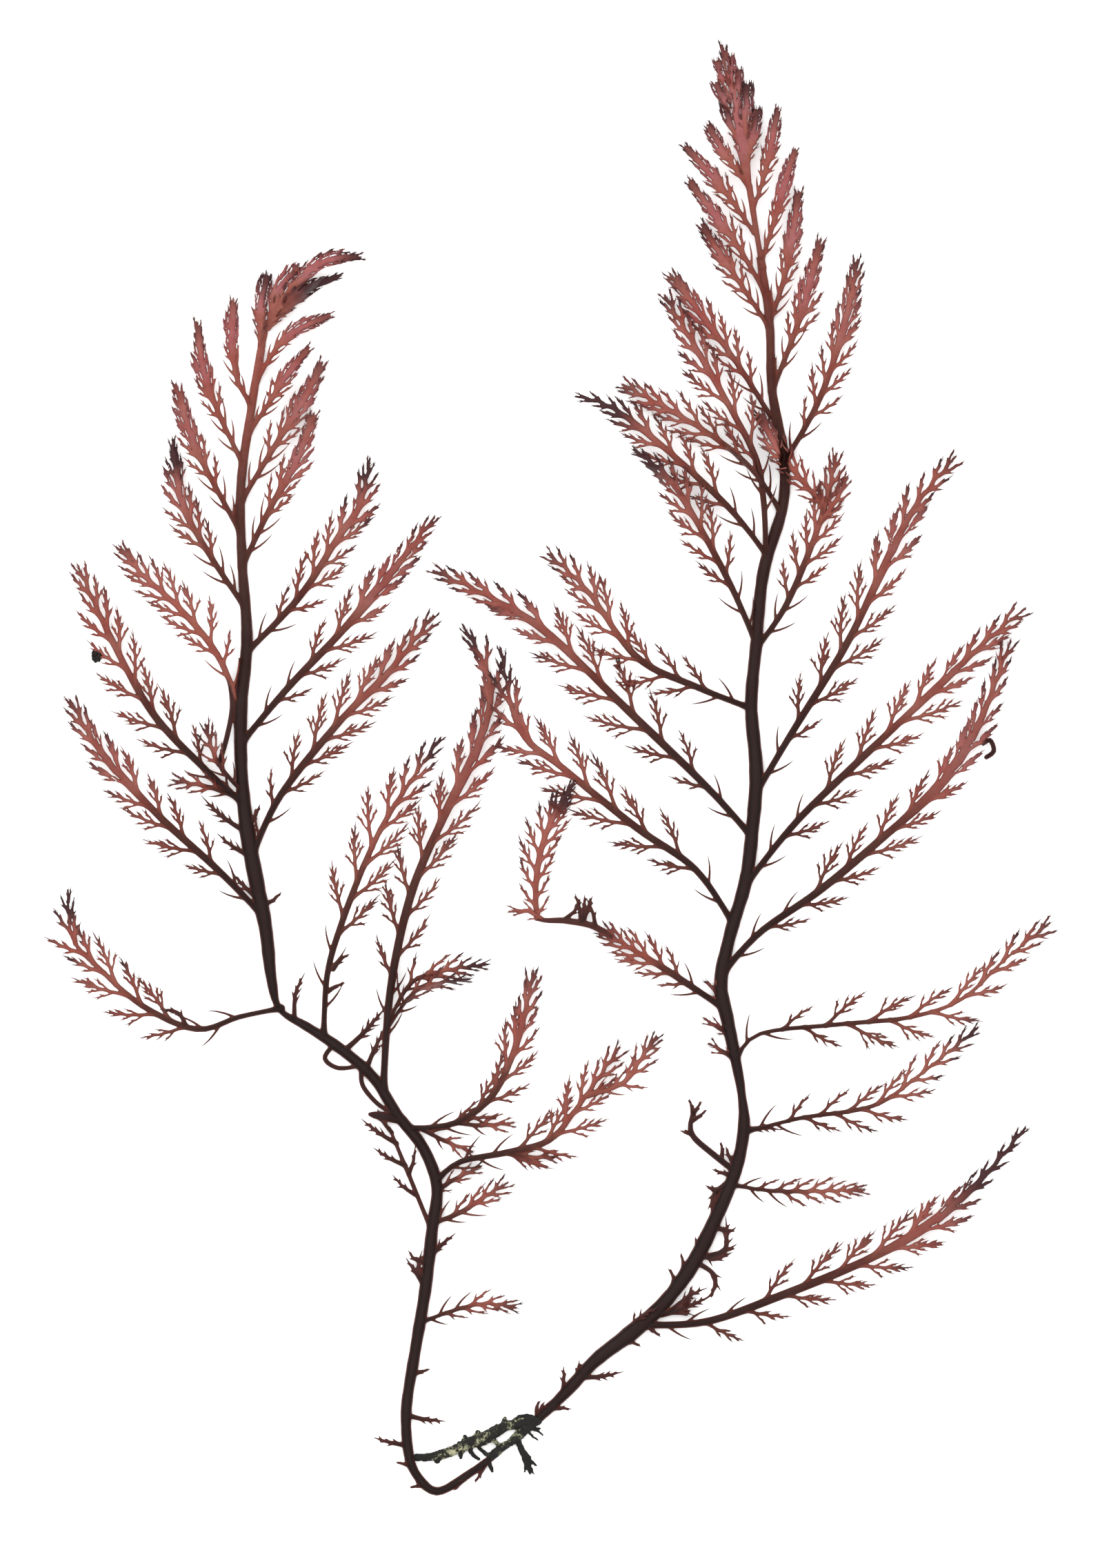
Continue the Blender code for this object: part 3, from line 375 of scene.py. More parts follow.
class Rib:
    """The middle line of a spray, and the arched height of the blade round it."""

    def __init__(self, points, lift, tip_height, root_height, base_age, step=RIB_STEP):
        self.route = [Vector(p[:2]) for p in smooth_route(points, step)]
        self.along = [0.0]
        for start, end in zip(self.route, self.route[1:]):
            self.along.append(self.along[-1] + (end - start).length)
        self.length = self.along[-1]
        self.lift, self.tip_height, self.root_height = lift, tip_height, root_height
        self.base_age = base_age

    def at(self, distance):
        distance = clamp(distance, 0.0, self.length - 1e-6)
        i = int(np.searchsorted(self.along, distance, side="right")) - 1
        start, end = self.route[i], self.route[i + 1]
        share = (distance - self.along[i]) / (self.along[i + 1] - self.along[i])
        before, after = self.route[max(0, i - 1)], self.route[min(len(self.route) - 1, i + 2)]
        return start.lerp(end, share), (after - before).normalized()

    def arch(self, distance, gap=0.0):
        u = clamp(distance / self.length, 0.0, 1.0)
        height = self.root_height * (1 - u) + self.tip_height * u + self.lift * math.sin(math.pi * u)
        return max(BLADE_HALF_THICKNESS + LEAST_CLEARANCE, height - BLADE_DROOP * gap)

    def age(self, distance):
        """Oldest at the foot and young from past the middle on."""
        u = clamp(distance / (OLD_SHARE * self.length), 0.0, 1.0)
        return self.base_age * (LASTING_AGE + (1 - LASTING_AGE) * (1 - u) ** 0.8) + YOUNGEST

    def nearest(self, point):
        gaps = [(point - corner).length for corner in self.route]
        i = gaps.index(min(gaps))
        return gaps[i], self.along[i]


def parent_of(foot, ribs):
    """The rib that a shoot grows from and the place along it, or nothing where it grows from the stem."""
    for rib in ribs:
        gap, along = rib.nearest(foot)
        if gap < PARENT_REACH:
            return rib, along
    return None, 0.0


NEEDLE_SUNK = 0.12  # share of a step by which a needle starts inside the tissue


def needle(points):
    """Keeps the fine point of a stroke as a needle: x, y, half width and the carried values."""
    for i, (start, end) in enumerate(zip(points, points[1:])):
        if end[2] < POINT_HALF_WIDTH:
            share = clamp((start[2] - POINT_HALF_WIDTH) / max(1e-6, start[2] - end[2]), 0.0, 1.0)
            share = max(0.0, share - NEEDLE_SUNK)
            first = tuple(a + share * (b - a) for a, b in zip(start, end))
            hairs.append([first] + list(points[i + 1:]))
            return


# A tooth tapers to a point and turns dark there. A longer one forks once or twice, at these shares of its
# length, into teeth that lean out by an angle in degrees and are a share of its own length.
LONG_TOOTH = 0.8
TOOTH_POINT = 0.01
TOOTH_TAPER = 1.7
TOOTH_THINNING = 0.35
FORKED_FROM = 1.0
TWICE_FORKED_FROM = 1.5
ONE_FORK = (0.50,)
TWO_FORKS = (0.42, 0.62)
FORK_ANGLES = (30, 42)
FORK_LENGTHS = (0.20, 0.27)
FORK_WIDTH = 0.70
FORK_BEND = 0.35


def tooth(patch, foot, heading, bend, length, half, value, draw, tip_dark, forked=True):
    """A tapered, slightly bowed tooth; a long one bears smaller teeth of its own."""
    parts = 5 if length > LONG_TOOTH else 3
    points, place = [], foot.copy()
    height, age, tip, web, along = value
    for part in range(parts + 1):
        s = part / parts
        if part:
            place = place + turned(heading, bend * (s - 0.5 / parts)) * (length / parts)
        width = TOOTH_POINT + half * (1 - s ** TOOTH_TAPER)
        dark = max(tip, tip_dark * clamp((s - 0.4) / 0.5, 0.0, 1.0))
        thick = BLADE_HALF_THICKNESS * (1 - TOOTH_THINNING * s)
        points.append((place.x, place.y, width, height, thick, age, dark, web, along + s * length))
    patch.stroke(points)
    needle(points)
    if length <= FORKED_FROM or not forked:
        return
    for number, s in enumerate(TWO_FORKS if length > TWICE_FORKED_FROM else ONE_FORK):
        side = 1 if (number + (bend > 0)) % 2 else -1
        i = min(parts - 1, int(s * parts))
        start = Vector(points[i][:2]).lerp(Vector(points[i + 1][:2]), s * parts - i)
        leaning = turned(heading, bend * s + side * math.radians(draw.uniform(*FORK_ANGLES)))
        tooth(patch, start, leaning, -side * FORK_BEND, length * draw.uniform(*FORK_LENGTHS),
              half * FORK_WIDTH, value, draw, tip_dark, False)


HAIR_PARTS = 3
HAIR_HALF_WIDTH = 0.036
HAIR_POINT = 0.008
HAIR_RISE = 0.05
HAIR_BOW = 0.25


def hair(here, heading, length, draw, tip_dark):
    """One of the fine dark points that end a branchlet, too thin to be part of the sheet."""
    x, y, _, height, thick, age, tip, web, along = here
    bend = draw.uniform(-HAIR_BOW, HAIR_BOW)
    place = Vector((x, y))
    points = []
    for part in range(HAIR_PARTS + 1):
        s = part / HAIR_PARTS
        if part:
            place = place + turned(heading, bend * s) * (length / HAIR_PARTS)
        half = HAIR_HALF_WIDTH * (1 - s) + HAIR_POINT
        dark = max(tip, tip_dark * (0.5 + 0.5 * s))
        points.append((place.x, place.y, half, height + HAIR_RISE * s, thick, age, dark, web,
                       along + s * length))
    hairs.append(points)


# A hand's stalk starts sunk in the rib. Its half width grows with its reach and in a web. Its teeth stand by
# turns from the low ones up, shorter and closer to the stalk the higher they are, and hairs end it.
STALK_SUNK = 0.3
STALK_PARTS = 7
STALK_HALF_WIDTH = 0.100
STALK_GROWTH = 0.009
STALK_GROWN_AT = 4.5
STALK_WEB = 0.075
TOOTHED_FROM = 0.8  # millimetres of reach
TOOTH_GAP = 0.60
TOOTH_COUNTS = (2, 7)
TOOTH_LOWEST = 0.27
TOOTH_RANGE = 0.56
TOOTH_HALF_WIDTH = 0.064
HAIR_OPENINGS = (-15, 11, -8, 5, -1)  # degrees off the stalk


def hand(patch, rib, distance, side, reach, angle, age, web, shade, tip_dark, draw):
    """A branchlet: a stalk that leaves the rib at a low angle, with teeth by turns and a bunch of points.
    In a web it bends to lie along the rib."""
    foot, direction = rib.at(distance - STALK_SUNK)
    parts = STALK_PARTS
    lift = draw.uniform(-0.06, 0.10)
    slim = STALK_HALF_WIDTH + STALK_GROWTH * min(reach, STALK_GROWN_AT) + STALK_WEB * web
    sway = draw.uniform(-0.08, 0.08)
    points, headings, place = [], [], foot
    for part in range(parts + 1):
        s = part / parts
        # A free one leaves the rib at a low angle, opens out at once and slowly bends back.
        free = 0.50 + 0.66 * (1 - math.exp(-s / 0.10)) - 0.52 * s
        lean = angle * (free * (1 - web) + (1.15 - 0.95 * s) * web) + sway * s
        heading = turned(direction, side * lean)
        if part:
            place = place + heading * ((reach + STALK_SUNK) / parts)
        headings.append(heading)
        away = reach * s
        height = rib.arch(distance + away * math.cos(angle), away * math.sin(angle)) + lift * s
        # It is broad at its foot, slimmer towards its points, and broader again in a web.
        swell = 1 + 0.5 * math.exp(-s / 0.09) + 0.4 * web * math.sin(math.pi * s)
        half = slim * swell * (1 - 0.70 * s ** 2.0)
        dark = max(shade(distance + away), tip_dark * clamp((s - 0.52) / 0.35, 0.0, 1.0))
        points.append((place.x, place.y, half, height, BLADE_HALF_THICKNESS, age * (1 - 0.5 * s), dark,
                       0.7 * web + 0.3 * s, distance + away))
    patch.stroke(points)

    def at(s):
        i = min(parts - 1, int(s * parts))
        share = s * parts - i
        return [a + share * (b - a) for a, b in zip(points[i], points[i + 1])], headings[i + 1]

    if reach > TOOTHED_FROM:
        count = int(clamp(round(reach / TOOTH_GAP), *TOOTH_COUNTS))
        for number in range(count):
            u = number / (count - 1)
            s = TOOTH_LOWEST + TOOTH_RANGE * u + draw.uniform(-0.03, 0.03)
            flank = side if number % 2 == 0 else -side
            here, heading = at(s)
            value = (here[3], here[5], here[6], here[7], here[8])
            length = (reach + 0.5) * (0.38 - 0.19 * u) * draw.uniform(0.82, 1.18)
            opening = math.radians((38 - 9 * u + draw.uniform(-4, 4)) * (1 - 0.60 * web))
            bend = -flank * 0.40 * (1 - 0.6 * web)
            tooth(patch, Vector(here[:2]), turned(heading, flank * opening), bend, length,
                  TOOTH_HALF_WIDTH + 0.02 * web, value, draw, tip_dark)
    for number, degrees in enumerate(HAIR_OPENINGS):
        here, heading = at(0.80 + 0.18 * number / 4)
        opening = math.radians(degrees + draw.uniform(-4, 4)) * (1 - 0.4 * web)
        length = draw.uniform(0.35, 0.60) * (1 - 0.35 * web) + 0.05 * reach
        hair(here, turned(heading, opening), length, draw, max(0.30, tip_dark))


def slit(rib, side, start, length, offset, slant, half):
    """A gap between rib and branchlets that have grown together: x, y and half width along it."""
    line = []
    for s, share in ((0.0, 0.4), (0.33, 1.0), (0.67, 1.0), (1.0, 0.4)):
        place, direction = rib.at(start + s * length)
        out = Vector((-direction.y, direction.x)) * side * (offset + slant * s * length)
        line.append((place.x + out.x, place.y + out.y, half * share))
    return line


# A web stands along the outer part of a rib, and fades towards the tip.
WEB_FROM = 0.70
WEB_LONGER = 0.32
WEB_FADE_IN = 0.16
WEB_FADE_OUT = 0.30
PATCH_MARGIN = 2.5
FOOT_SPINE_LONGEST = 2.6
FOOT_SPINE_HALF_WIDTH = 0.095
WEBBED_ENOUGH = 0.35  # how webbed a place must be to have slits
SECOND_SLIT_CHANCE = 0.75
END_OPENINGS = (0, 9, -9, 15, -15, 20, -20)  # degrees off the rib, for the hairs at a spray's tip


def spray(levels, recipe, seed, ribs, base_age):
    """A rib with its hands, drawn on a patch of its own and then laid on the sheet."""
    lift, tip_height, bare, width, web, darkness, points = recipe
    draw = random.Random(seed)
    foot = Vector(points[0])
    parent, parent_along = parent_of(foot, ribs)
    root_height = parent.arch(parent_along) if parent else ROOT_HEIGHT
    if parent:
        base_age = min(base_age, parent.age(parent_along))
    rib = Rib(points, lift, tip_height, root_height, base_age)
    route = np.array([tuple(p) for p in rib.route])
    full = min(REACH_AT_LEAST + REACH_SHARE * rib.length, REACH_MOST, 0.30 * rib.length)
    full *= (1 - 0.32 * web ** 2) * clamp(width / 0.55, 0.6, 1.0)
    patch = Patch(route.min(0) - full - PATCH_MARGIN, route.max(0) + full + PATCH_MARGIN)

    def webbed(u):
        begun = clamp((u - WEB_FROM + WEB_LONGER * web) / WEB_FADE_IN, 0.0, 1.0)
        return web * begun * clamp((1.03 - u) / WEB_FADE_OUT, 0.0, 1.0)

    def aged(u):
        return rib.age(u * rib.length)

    def shade(along):
        """How dark the end of the spray is, on the rib and on all that grows there."""
        near_tip = clamp(1.0 - (rib.length - along - 0.3) / (0.9 + 1.3 * darkness), 0.0, 1.0)
        return min(1.0, min(darkness, 2.0) * near_tip)

    # The rib: broadest past its middle, broader in a web, and drawn out to a point.
    strokes = []
    for place, along in zip(rib.route, rib.along):
        u = along / rib.length
        flare = (0.06 if parent else 0.16) * math.exp(-along / 0.5)
        share = 0.62 + RIB_SWELL * math.sin(math.pi * u) - RIB_TIP_TAPER * u ** 3
        share += 1.15 * webbed(u) * (1 - 0.4 * u)
        half = 0.5 * max(0.16, width * share * (1 - 0.45 * u ** 6)) + flare
        thick = BLADE_HALF_THICKNESS * (1.15 + 0.9 * base_age * (1 - u))
        strokes.append((place.x, place.y, half, rib.arch(along), thick, aged(u), shade(along), webbed(u),
                        along))
    patch.stroke(strokes)

    # The branchlets, by turns to one side and the other: plain spines near the foot, then hands.
    pitch = clamp(PITCH_SHARE * rib.length, PITCH_LIMITS[0] - PITCH_IN_WEBS * web, PITCH_LIMITS[1])
    side = draw.choice((-1, 1))
    distance = bare
    number = 0
    while distance < rib.length - 0.25:
        u = distance / rib.length
        past = max(0.0, (u - FALL_FROM) / (1 - FALL_FROM))
        rise = 0.5 + 0.5 * min(1.0, (distance - bare) / (RISE_SHARE * rib.length))
        reach = full * rise * (1 - TIP_SHORTENING * past) * draw.uniform(0.88, 1.12)
        angle = math.radians(ANGLE_AT_FOOT + (ANGLE_AT_TIP - ANGLE_AT_FOOT) * u + draw.uniform(-4, 4))
        angle *= 1.12 - 0.37 * web
        tip_dark = min(darkness, 0.8) * draw.uniform(0.45, 1.50) * (0.5 + 0.5 * u) + 0.35 * past
        tip_dark = clamp(tip_dark, 0.0, 1.0)
        plain = 2 + round(3 * web) * (rib.length < 14)
        if bare > 0.6 and (number < plain or (number < 4 and draw.random() < 0.4)):
            start, direction = rib.at(distance - 0.25)
            value = (rib.arch(distance), aged(u) * 0.8, 0.0, 0.0, distance)
            length = (0.55 * full + 0.45 * reach) * draw.uniform(0.85, 1.2) + 0.5
            length = min(FOOT_SPINE_LONGEST, length)
            tooth(patch, start, turned(direction, side * angle * 1.15), -side * 0.50, length,
                  FOOT_SPINE_HALF_WIDTH, value, draw, 0.35 * tip_dark, False)
        else:
            grown = webbed(u)
            reach = max(reach, min(1.8, 0.36 * rib.length) * grown * (1 - 0.3 * past))
            reach = min(reach, 0.85 * (rib.length - distance) + 0.30)
            if darkness > 1.0:
                reach *= 1 - 0.45 * shade(distance)
            hand(patch, rib, distance, side, reach, angle, aged(u) * 0.75, grown, shade, tip_dark, draw)
            if grown > WEBBED_ENOUGH and rib.length - distance > 0.9:
                patch.slits.append(slit(
                    rib, side, distance + 0.3, draw.uniform(0.6, 1.3), draw.uniform(0.22, 0.31), 0.14,
                    draw.uniform(0.030, 0.044)))
                if draw.random() < SECOND_SLIT_CHANCE:
                    patch.slits.append(slit(
                        rib, side, distance + draw.uniform(0.4, 1.0), draw.uniform(0.35, 0.8),
                        draw.uniform(0.44, 0.58), 0.2, draw.uniform(0.026, 0.038)))
        distance += 0.5 * pitch * (1 - TIP_CROWDING * past) * (1 - 0.2 * webbed(u)) * draw.uniform(0.9, 1.1)
        side = -side
        number += 1
    # The bunch of hairs at the tip.
    ends = list(strokes[-1])
    for number, degrees in enumerate(END_OPENINGS):
        start, direction = rib.at(rib.length - 0.25 - 0.10 * number)
        opening = math.radians(degrees + draw.uniform(-4, 4))
        ends[0], ends[1], ends[6] = start.x, start.y, max(0.5, shade(rib.length))
        hair(ends, turned(direction, opening), draw.uniform(0.45, 0.75), draw, 0.8)
    lay(patch, levels, foot, bare < LOBE_BARE)
    return rib


SPINE_LIFT = 0.35
SPINE_TIP_HEIGHT = 0.32
SPINE_STEP = 0.25
SPINE_TOOTH_GAP = 0.6


def spine(levels, width, points, ribs, age, bare=False):
    """A single pointed shoot with a few small teeth; a bare one is a blunt strap."""
    foot = Vector(points[0])
    parent, parent_along = parent_of(foot, ribs)
    root_height = parent.arch(parent_along) if parent else ROOT_HEIGHT
    rib = Rib(points, SPINE_LIFT, SPINE_TIP_HEIGHT, root_height, age, SPINE_STEP)
    route = np.array([tuple(p) for p in rib.route])
    patch = Patch(route.min(0) - PATCH_MARGIN, route.max(0) + PATCH_MARGIN)
    draw = random.Random(round(100 * foot.x))
    strokes = []
    for place, along in zip(rib.route, rib.along):
        s = along / rib.length
        taper = 0.6 * s ** 6 if bare else s ** 1.6
        strokes.append((place.x, place.y, 0.5 * width * 0.8 * (1 - taper) + 0.015, rib.arch(along),
                        BLADE_HALF_THICKNESS, age, 0.3 * s, 0.0, along))
    patch.stroke(strokes)
    needle(strokes)
    count = 0 if bare else int(rib.length / SPINE_TOOTH_GAP)
    for number in range(count):
        s = 0.30 + 0.45 * number / max(1, count - 1)
        start, direction = rib.at(s * rib.length)
        side = 1 if number % 2 else -1
        value = (rib.arch(s * rib.length), age, 0.2, 0.0, s * rib.length)
        tooth(patch, start, turned(direction, side * math.radians(draw.uniform(32, 50))), -side * 0.3,
              (0.25 + 0.22 * rib.length) * draw.uniform(0.7, 1.1) * (1.2 - s), 0.07, value, draw, 0.5)
    lay(patch, levels, foot)
    return rib


STEM_FLATNESS = 0.72
STEM_YOUNGER = 0.85  # how much younger than its foot a stem is at its tip
STEM_AGE_COLUMN = 5


def stem(level, axis, light_from, light_to):
    """The main stem, round-backed on the sheet; near-black at its foot and paler from light_from up."""
    route = smooth_route(axis, 0.5)
    along = 0.0
    strokes = []
    for i, (x, y, width) in enumerate(route):
        if i:
            along += math.dist((x, y), route[i - 1][:2])
        age = 1.0 - STEM_YOUNGER * clamp((y - light_from) / (light_to - light_from), 0.0, 1.0)
        uneven = 1 + 0.03 * math.sin(1.9 * along) + 0.02 * math.sin(4.3 * along + 1.0)
        half = 0.5 * width * uneven
        strokes.append((x, y, half, STEM_FLATNESS * half, STEM_FLATNESS * half, age, 0.0, 0.0, along))
    points = np.array(strokes)
    patch = Patch(points[:, :2].min(0) - 1.5, points[:, :2].max(0) + 1.5)
    patch.stroke(strokes)
    add(level, patch)
    note_laid(patch)
    return points


def stem_age(stem_points, foot):
    """The age of the stem where it is nearest to a shoot's foot."""
    i = np.hypot(stem_points[:, 0] - foot[0], stem_points[:, 1] - foot[1]).argmin()
    return float(stem_points[i, STEM_AGE_COLUMN])


MOST_FACES = 190000  # a piece's finest net is thinned to this, flat places first


def applied(obj, kind, **settings):
    """Adds a modifier and applies it."""
    modifier = obj.modifiers.new(kind.lower(), kind)
    for key, value in settings.items():
        setattr(modifier, key, value)
    with bpy.context.temp_override(object=obj, active_object=obj, selected_objects=[obj]):
        bpy.ops.object.modifier_apply(modifier=modifier.name)


def mesh_from(name, corners, triangles, carried):
    """A mesh from arrays, with each carried value as an attribute of its corners."""
    mesh = bpy.data.meshes.new(name)
    mesh.vertices.add(len(corners))
    mesh.vertices.foreach_set("co", np.asarray(corners, np.float32).ravel())
    flat = np.asarray(triangles, np.int32).ravel()
    mesh.loops.add(len(flat))
    mesh.loops.foreach_set("vertex_index", flat)
    count = len(triangles)
    mesh.polygons.add(count)
    mesh.polygons.foreach_set("loop_start", np.arange(count, dtype=np.int32) * 3)
    mesh.update(calc_edges=True)
    mesh.validate()
    for key, column in carried.items():
        mesh.attributes.new(key, "FLOAT", "POINT").data.foreach_set("value", np.asarray(column, np.float32))
    mesh.shade_smooth()
    obj = bpy.data.objects.new(name, mesh)
    bpy.context.scene.collection.objects.link(obj)
    if count > MOST_FACES:
        applied(obj, "DECIMATE", ratio=MOST_FACES / count)
    return obj


# For each way that a square's corners can lie in the tissue, its piece of tissue as a fan from a corner that
# lies inside. 0 to 3 are the corners, anticlockwise from the lowest; 4 to 7 are the edges after them.
SQUARES = {
    1: [(0, 4, 7)], 2: [(1, 5, 4)], 4: [(2, 6, 5)], 8: [(3, 7, 6)],
    3: [(0, 1, 5), (0, 5, 7)], 6: [(1, 2, 6), (1, 6, 4)],
    12: [(2, 3, 7), (2, 7, 5)], 9: [(3, 0, 4), (3, 4, 6)],
    7: [(1, 2, 6), (1, 6, 7), (1, 7, 0)], 14: [(2, 3, 7), (2, 7, 4), (2, 4, 1)],
    13: [(3, 0, 4), (3, 4, 5), (3, 5, 2)], 11: [(0, 1, 5), (0, 5, 6), (0, 6, 3)],
    5: [(0, 4, 7), (2, 6, 5)], 10: [(1, 5, 4), (3, 7, 6)],
    15: [(0, 1, 2), (0, 2, 3)],
}


OUTSIDE = -1.0
LEAST_SHARE = 0.06  # keeps a rim's corner off the net's own corners
EDGE_ROUNDING = 0.22
CLEAR_OF_SHEET = 0.005


def tissue_sheet(name, level):
    """The level's tissue as one closed mesh: an upper and a lower side that meet in a sharp rim."""
    total = np.maximum(level.total, TINY)
    field = np.log(total) / BLENDING
    field[0, :] = field[-1, :] = field[:, 0] = field[:, -1] = OUTSIDE
    values = level.values / total[..., None]
    inside = field > 0.0
    number = np.full(field.shape, -1)
    number[inside] = np.arange(inside.sum())
    i, j = np.nonzero(inside)
    places = [np.column_stack([i, j]).astype(float)]
    depths = [field[inside]]
    carried = [values[inside]]
    count = len(i)
    edges = []
    for di, dj in ((1, 0), (0, 1)):
        here = field[:field.shape[0] - di, :field.shape[1] - dj]
        there = field[di:, dj:]
        cut = (here > 0.0) != (there > 0.0)
        label = np.full(field.shape, -1)
        label[:cut.shape[0], :cut.shape[1]][cut] = count + np.arange(cut.sum())
        count += int(cut.sum())
        a, b = np.nonzero(cut)
        share = np.clip(here[cut] / (here[cut] - there[cut]), LEAST_SHARE, 1 - LEAST_SHARE)
        places.append(np.column_stack([a + di * share, b + dj * share]))
        depths.append(np.zeros(len(a)))
        carried.append(np.where((here[cut] > 0.0)[:, None], values[a, b], values[a + di, b + dj]))
        edges.append(label)
    places, depths, carried = np.vstack(places), np.concatenate(depths), np.vstack(carried)
    corners = [number[:-1, :-1], number[1:, :-1], number[1:, 1:], number[:-1, 1:],
               edges[0][:-1, :-1], edges[1][1:, :-1], edges[0][:-1, 1:], edges[1][:-1, :-1]]
    kind = (inside[:-1, :-1] * 1 + inside[1:, :-1] * 2 + inside[1:, 1:] * 4 + inside[:-1, 1:] * 8)
    faces = []
    for case, fan in SQUARES.items():
        chosen = kind == case
        for triple in fan:
            faces.append(np.column_stack([corners[k][chosen] for k in triple]))
    faces = np.vstack(faces)
    rim = depths <= 0.0
    thick = carried[:, THICK]
    rounding = np.maximum(EDGE_ROUNDING, thick * 1.3)
    swell = np.sqrt(np.clip(1 - (1 - np.clip(depths / rounding, 0.0, 1.0)) ** 2, 0.0, 1.0))
    middle = np.maximum(carried[:, HEIGHT], thick + CLEAR_OF_SHEET)
    x = (NET_LOW[0] + NET * places[:, 0] - SHEET_CENTRE[0]) * MM
    y = (NET_LOW[1] + NET * places[:, 1] - SHEET_CENTRE[1]) * MM
    upper = np.column_stack([x, y, (middle + thick * swell) * MM])
    lower = np.column_stack([x, y, (middle - thick * swell) * MM])[~rim]
    below = np.arange(len(upper))
    below[~rim] = len(upper) + np.arange(len(lower))
    columns = {key: np.concatenate([carried[:, k], carried[~rim, k]]) for k, key in enumerate(CARRIED)}
    columns["depth"] = np.concatenate([depths, depths[~rim]])
    return mesh_from(name, np.vstack([upper, lower]), np.vstack([faces, below[faces][:, ::-1]]), columns)


NEEDLE_SECTION = ((-1.0, -0.4), (1.0, -0.4), (0.0, 0.9))  # across and up, in half widths
NEEDLE_DEPTH = 0.05


def needles(name, strokes):
    """All the fine points of a frond as slim three-sided needles, each rooted in the tissue."""
    corners, faces, carried = [], [], []
    for stroke in strokes:
        base = len(corners)
        rings = len(stroke)
        for i, point in enumerate(stroke):
            ahead, behind = stroke[min(i + 1, rings - 1)], stroke[max(i - 1, 0)]
            run = Vector((ahead[0] - behind[0], ahead[1] - behind[1]))
            run = run.normalized() if run.length > 1e-6 else Vector((1.0, 0.0))
            side = Vector((-run.y, run.x))
            x, y, half, height, thick, age, tip, web, along = point
            centre = Vector((x - SHEET_CENTRE[0], y - SHEET_CENTRE[1]))
            if i == rings - 1:
                corners.append((*(centre * MM), height * MM))
                carried.append((height, thick, age, tip, web, along, 0.0, 0.0))
                continue
            for across, up in NEEDLE_SECTION:
                place = (centre + side * across * half) * MM
                corners.append((place.x, place.y, (height + up * half) * MM))
                carried.append((height, thick, age, tip, web, along, across * half, 0.0))
        for i in range(rings - 2):
            for k in range(3):
                a, b = base + 3 * i + k, base + 3 * i + (k + 1) % 3
                faces += [(a, b, b + 3), (a, b + 3, a + 3)]
        last = base + 3 * (rings - 2)
        point = base + 3 * (rings - 1)
        faces += [(last, last + 1, point), (last + 1, last + 2, point), (last + 2, last, point)]
        faces.append((base + 2, base + 1, base))
    carried = np.array(carried)
    columns = {key: carried[:, k] for k, key in enumerate(CARRIED)}
    columns["depth"] = np.full(len(corners), NEEDLE_DEPTH)
    return mesh_from(name, corners, faces, columns)


def linear(code):
    """A colour written as sRGB hex, turned linear."""
    parts = [int(code[k:k + 2], 16) / 255 for k in (1, 3, 5)]
    return [c / 12.92 if c <= 0.04045 else ((c + 0.055) / 1.055) ** 2.4 for c in parts] + [1.0]


def node(tree, kind, settings, inputs, output=0, stops=()):
    """Adds a node with its settings and returns one of its outputs. An input is a value, or the output that
    feeds it, and stops are a colour ramp's places and colours."""
    made = tree.nodes.new(kind)
    for key, value in settings.items():
        setattr(made, key, value)
    for key, value in inputs.items():
        if isinstance(value, bpy.types.NodeSocket):
            tree.links.new(value, made.inputs[key])
        else:
            made.inputs[key].default_value = value
    if stops:
        elements = made.color_ramp.elements
        while len(elements) < len(stops):
            elements.new(0.5)
        for element, (place, code) in zip(elements, stops):
            element.position = place
            element.color = linear(code)
    return made.outputs[output]


MIX_FACTOR, MIX_FIRST, MIX_SECOND, MIX_RESULT = 0, 6, 7, 2  # a colour mix node's sockets

# Damp red-algal tissue, a satin skin: near-black brown where it is old and thick, brick red in the ribs,
# rosy where light comes through young webs, and dark again in the crowded points. Painted light goes on top:
# a painted shade where the tissue lies doubled, and a painted glow of lighter red along the thin edges of
# old stems. Fine streaks run along it, like its rows of cells. Those are far finer, and the streaks are
# drawn about 0.1 mm wide so that they show.
tissue_material = bpy.data.materials.new("damp_red_algal_tissue")
tissue_material.use_nodes = True
tree = tissue_material.node_tree
shader = tree.nodes["Principled BSDF"]
skin = {key: node(tree, "ShaderNodeAttribute", {"attribute_name": key}, {}, "Fac")
        for key in ("age", "tip", "web", "along", "across", "under", "depth")}
place = node(tree, "ShaderNodeTexCoord", {}, {}, "Object")

cells = node(tree, "ShaderNodeCombineXYZ", {}, {
    "X": node(tree, "ShaderNodeMath", {"operation": "MULTIPLY"}, {0: skin["along"], 1: 0.55}),
    "Y": node(tree, "ShaderNodeMath", {"operation": "MULTIPLY"}, {0: skin["across"], 1: 7.0})})
streaks = node(tree, "ShaderNodeTexNoise", {}, {
    "Vector": cells, "Scale": 1.6, "Detail": 4.0, "Roughness": 0.6})
blotches = node(tree, "ShaderNodeTexNoise", {}, {
    "Vector": place, "Scale": 420.0, "Detail": 3.0, "Roughness": 0.55})  # about 2.5 mm across
mottle = node(tree, "ShaderNodeTexNoise", {}, {
    "Vector": place, "Scale": 3200.0, "Detail": 2.0, "Roughness": 0.6})  # about 0.3 mm across

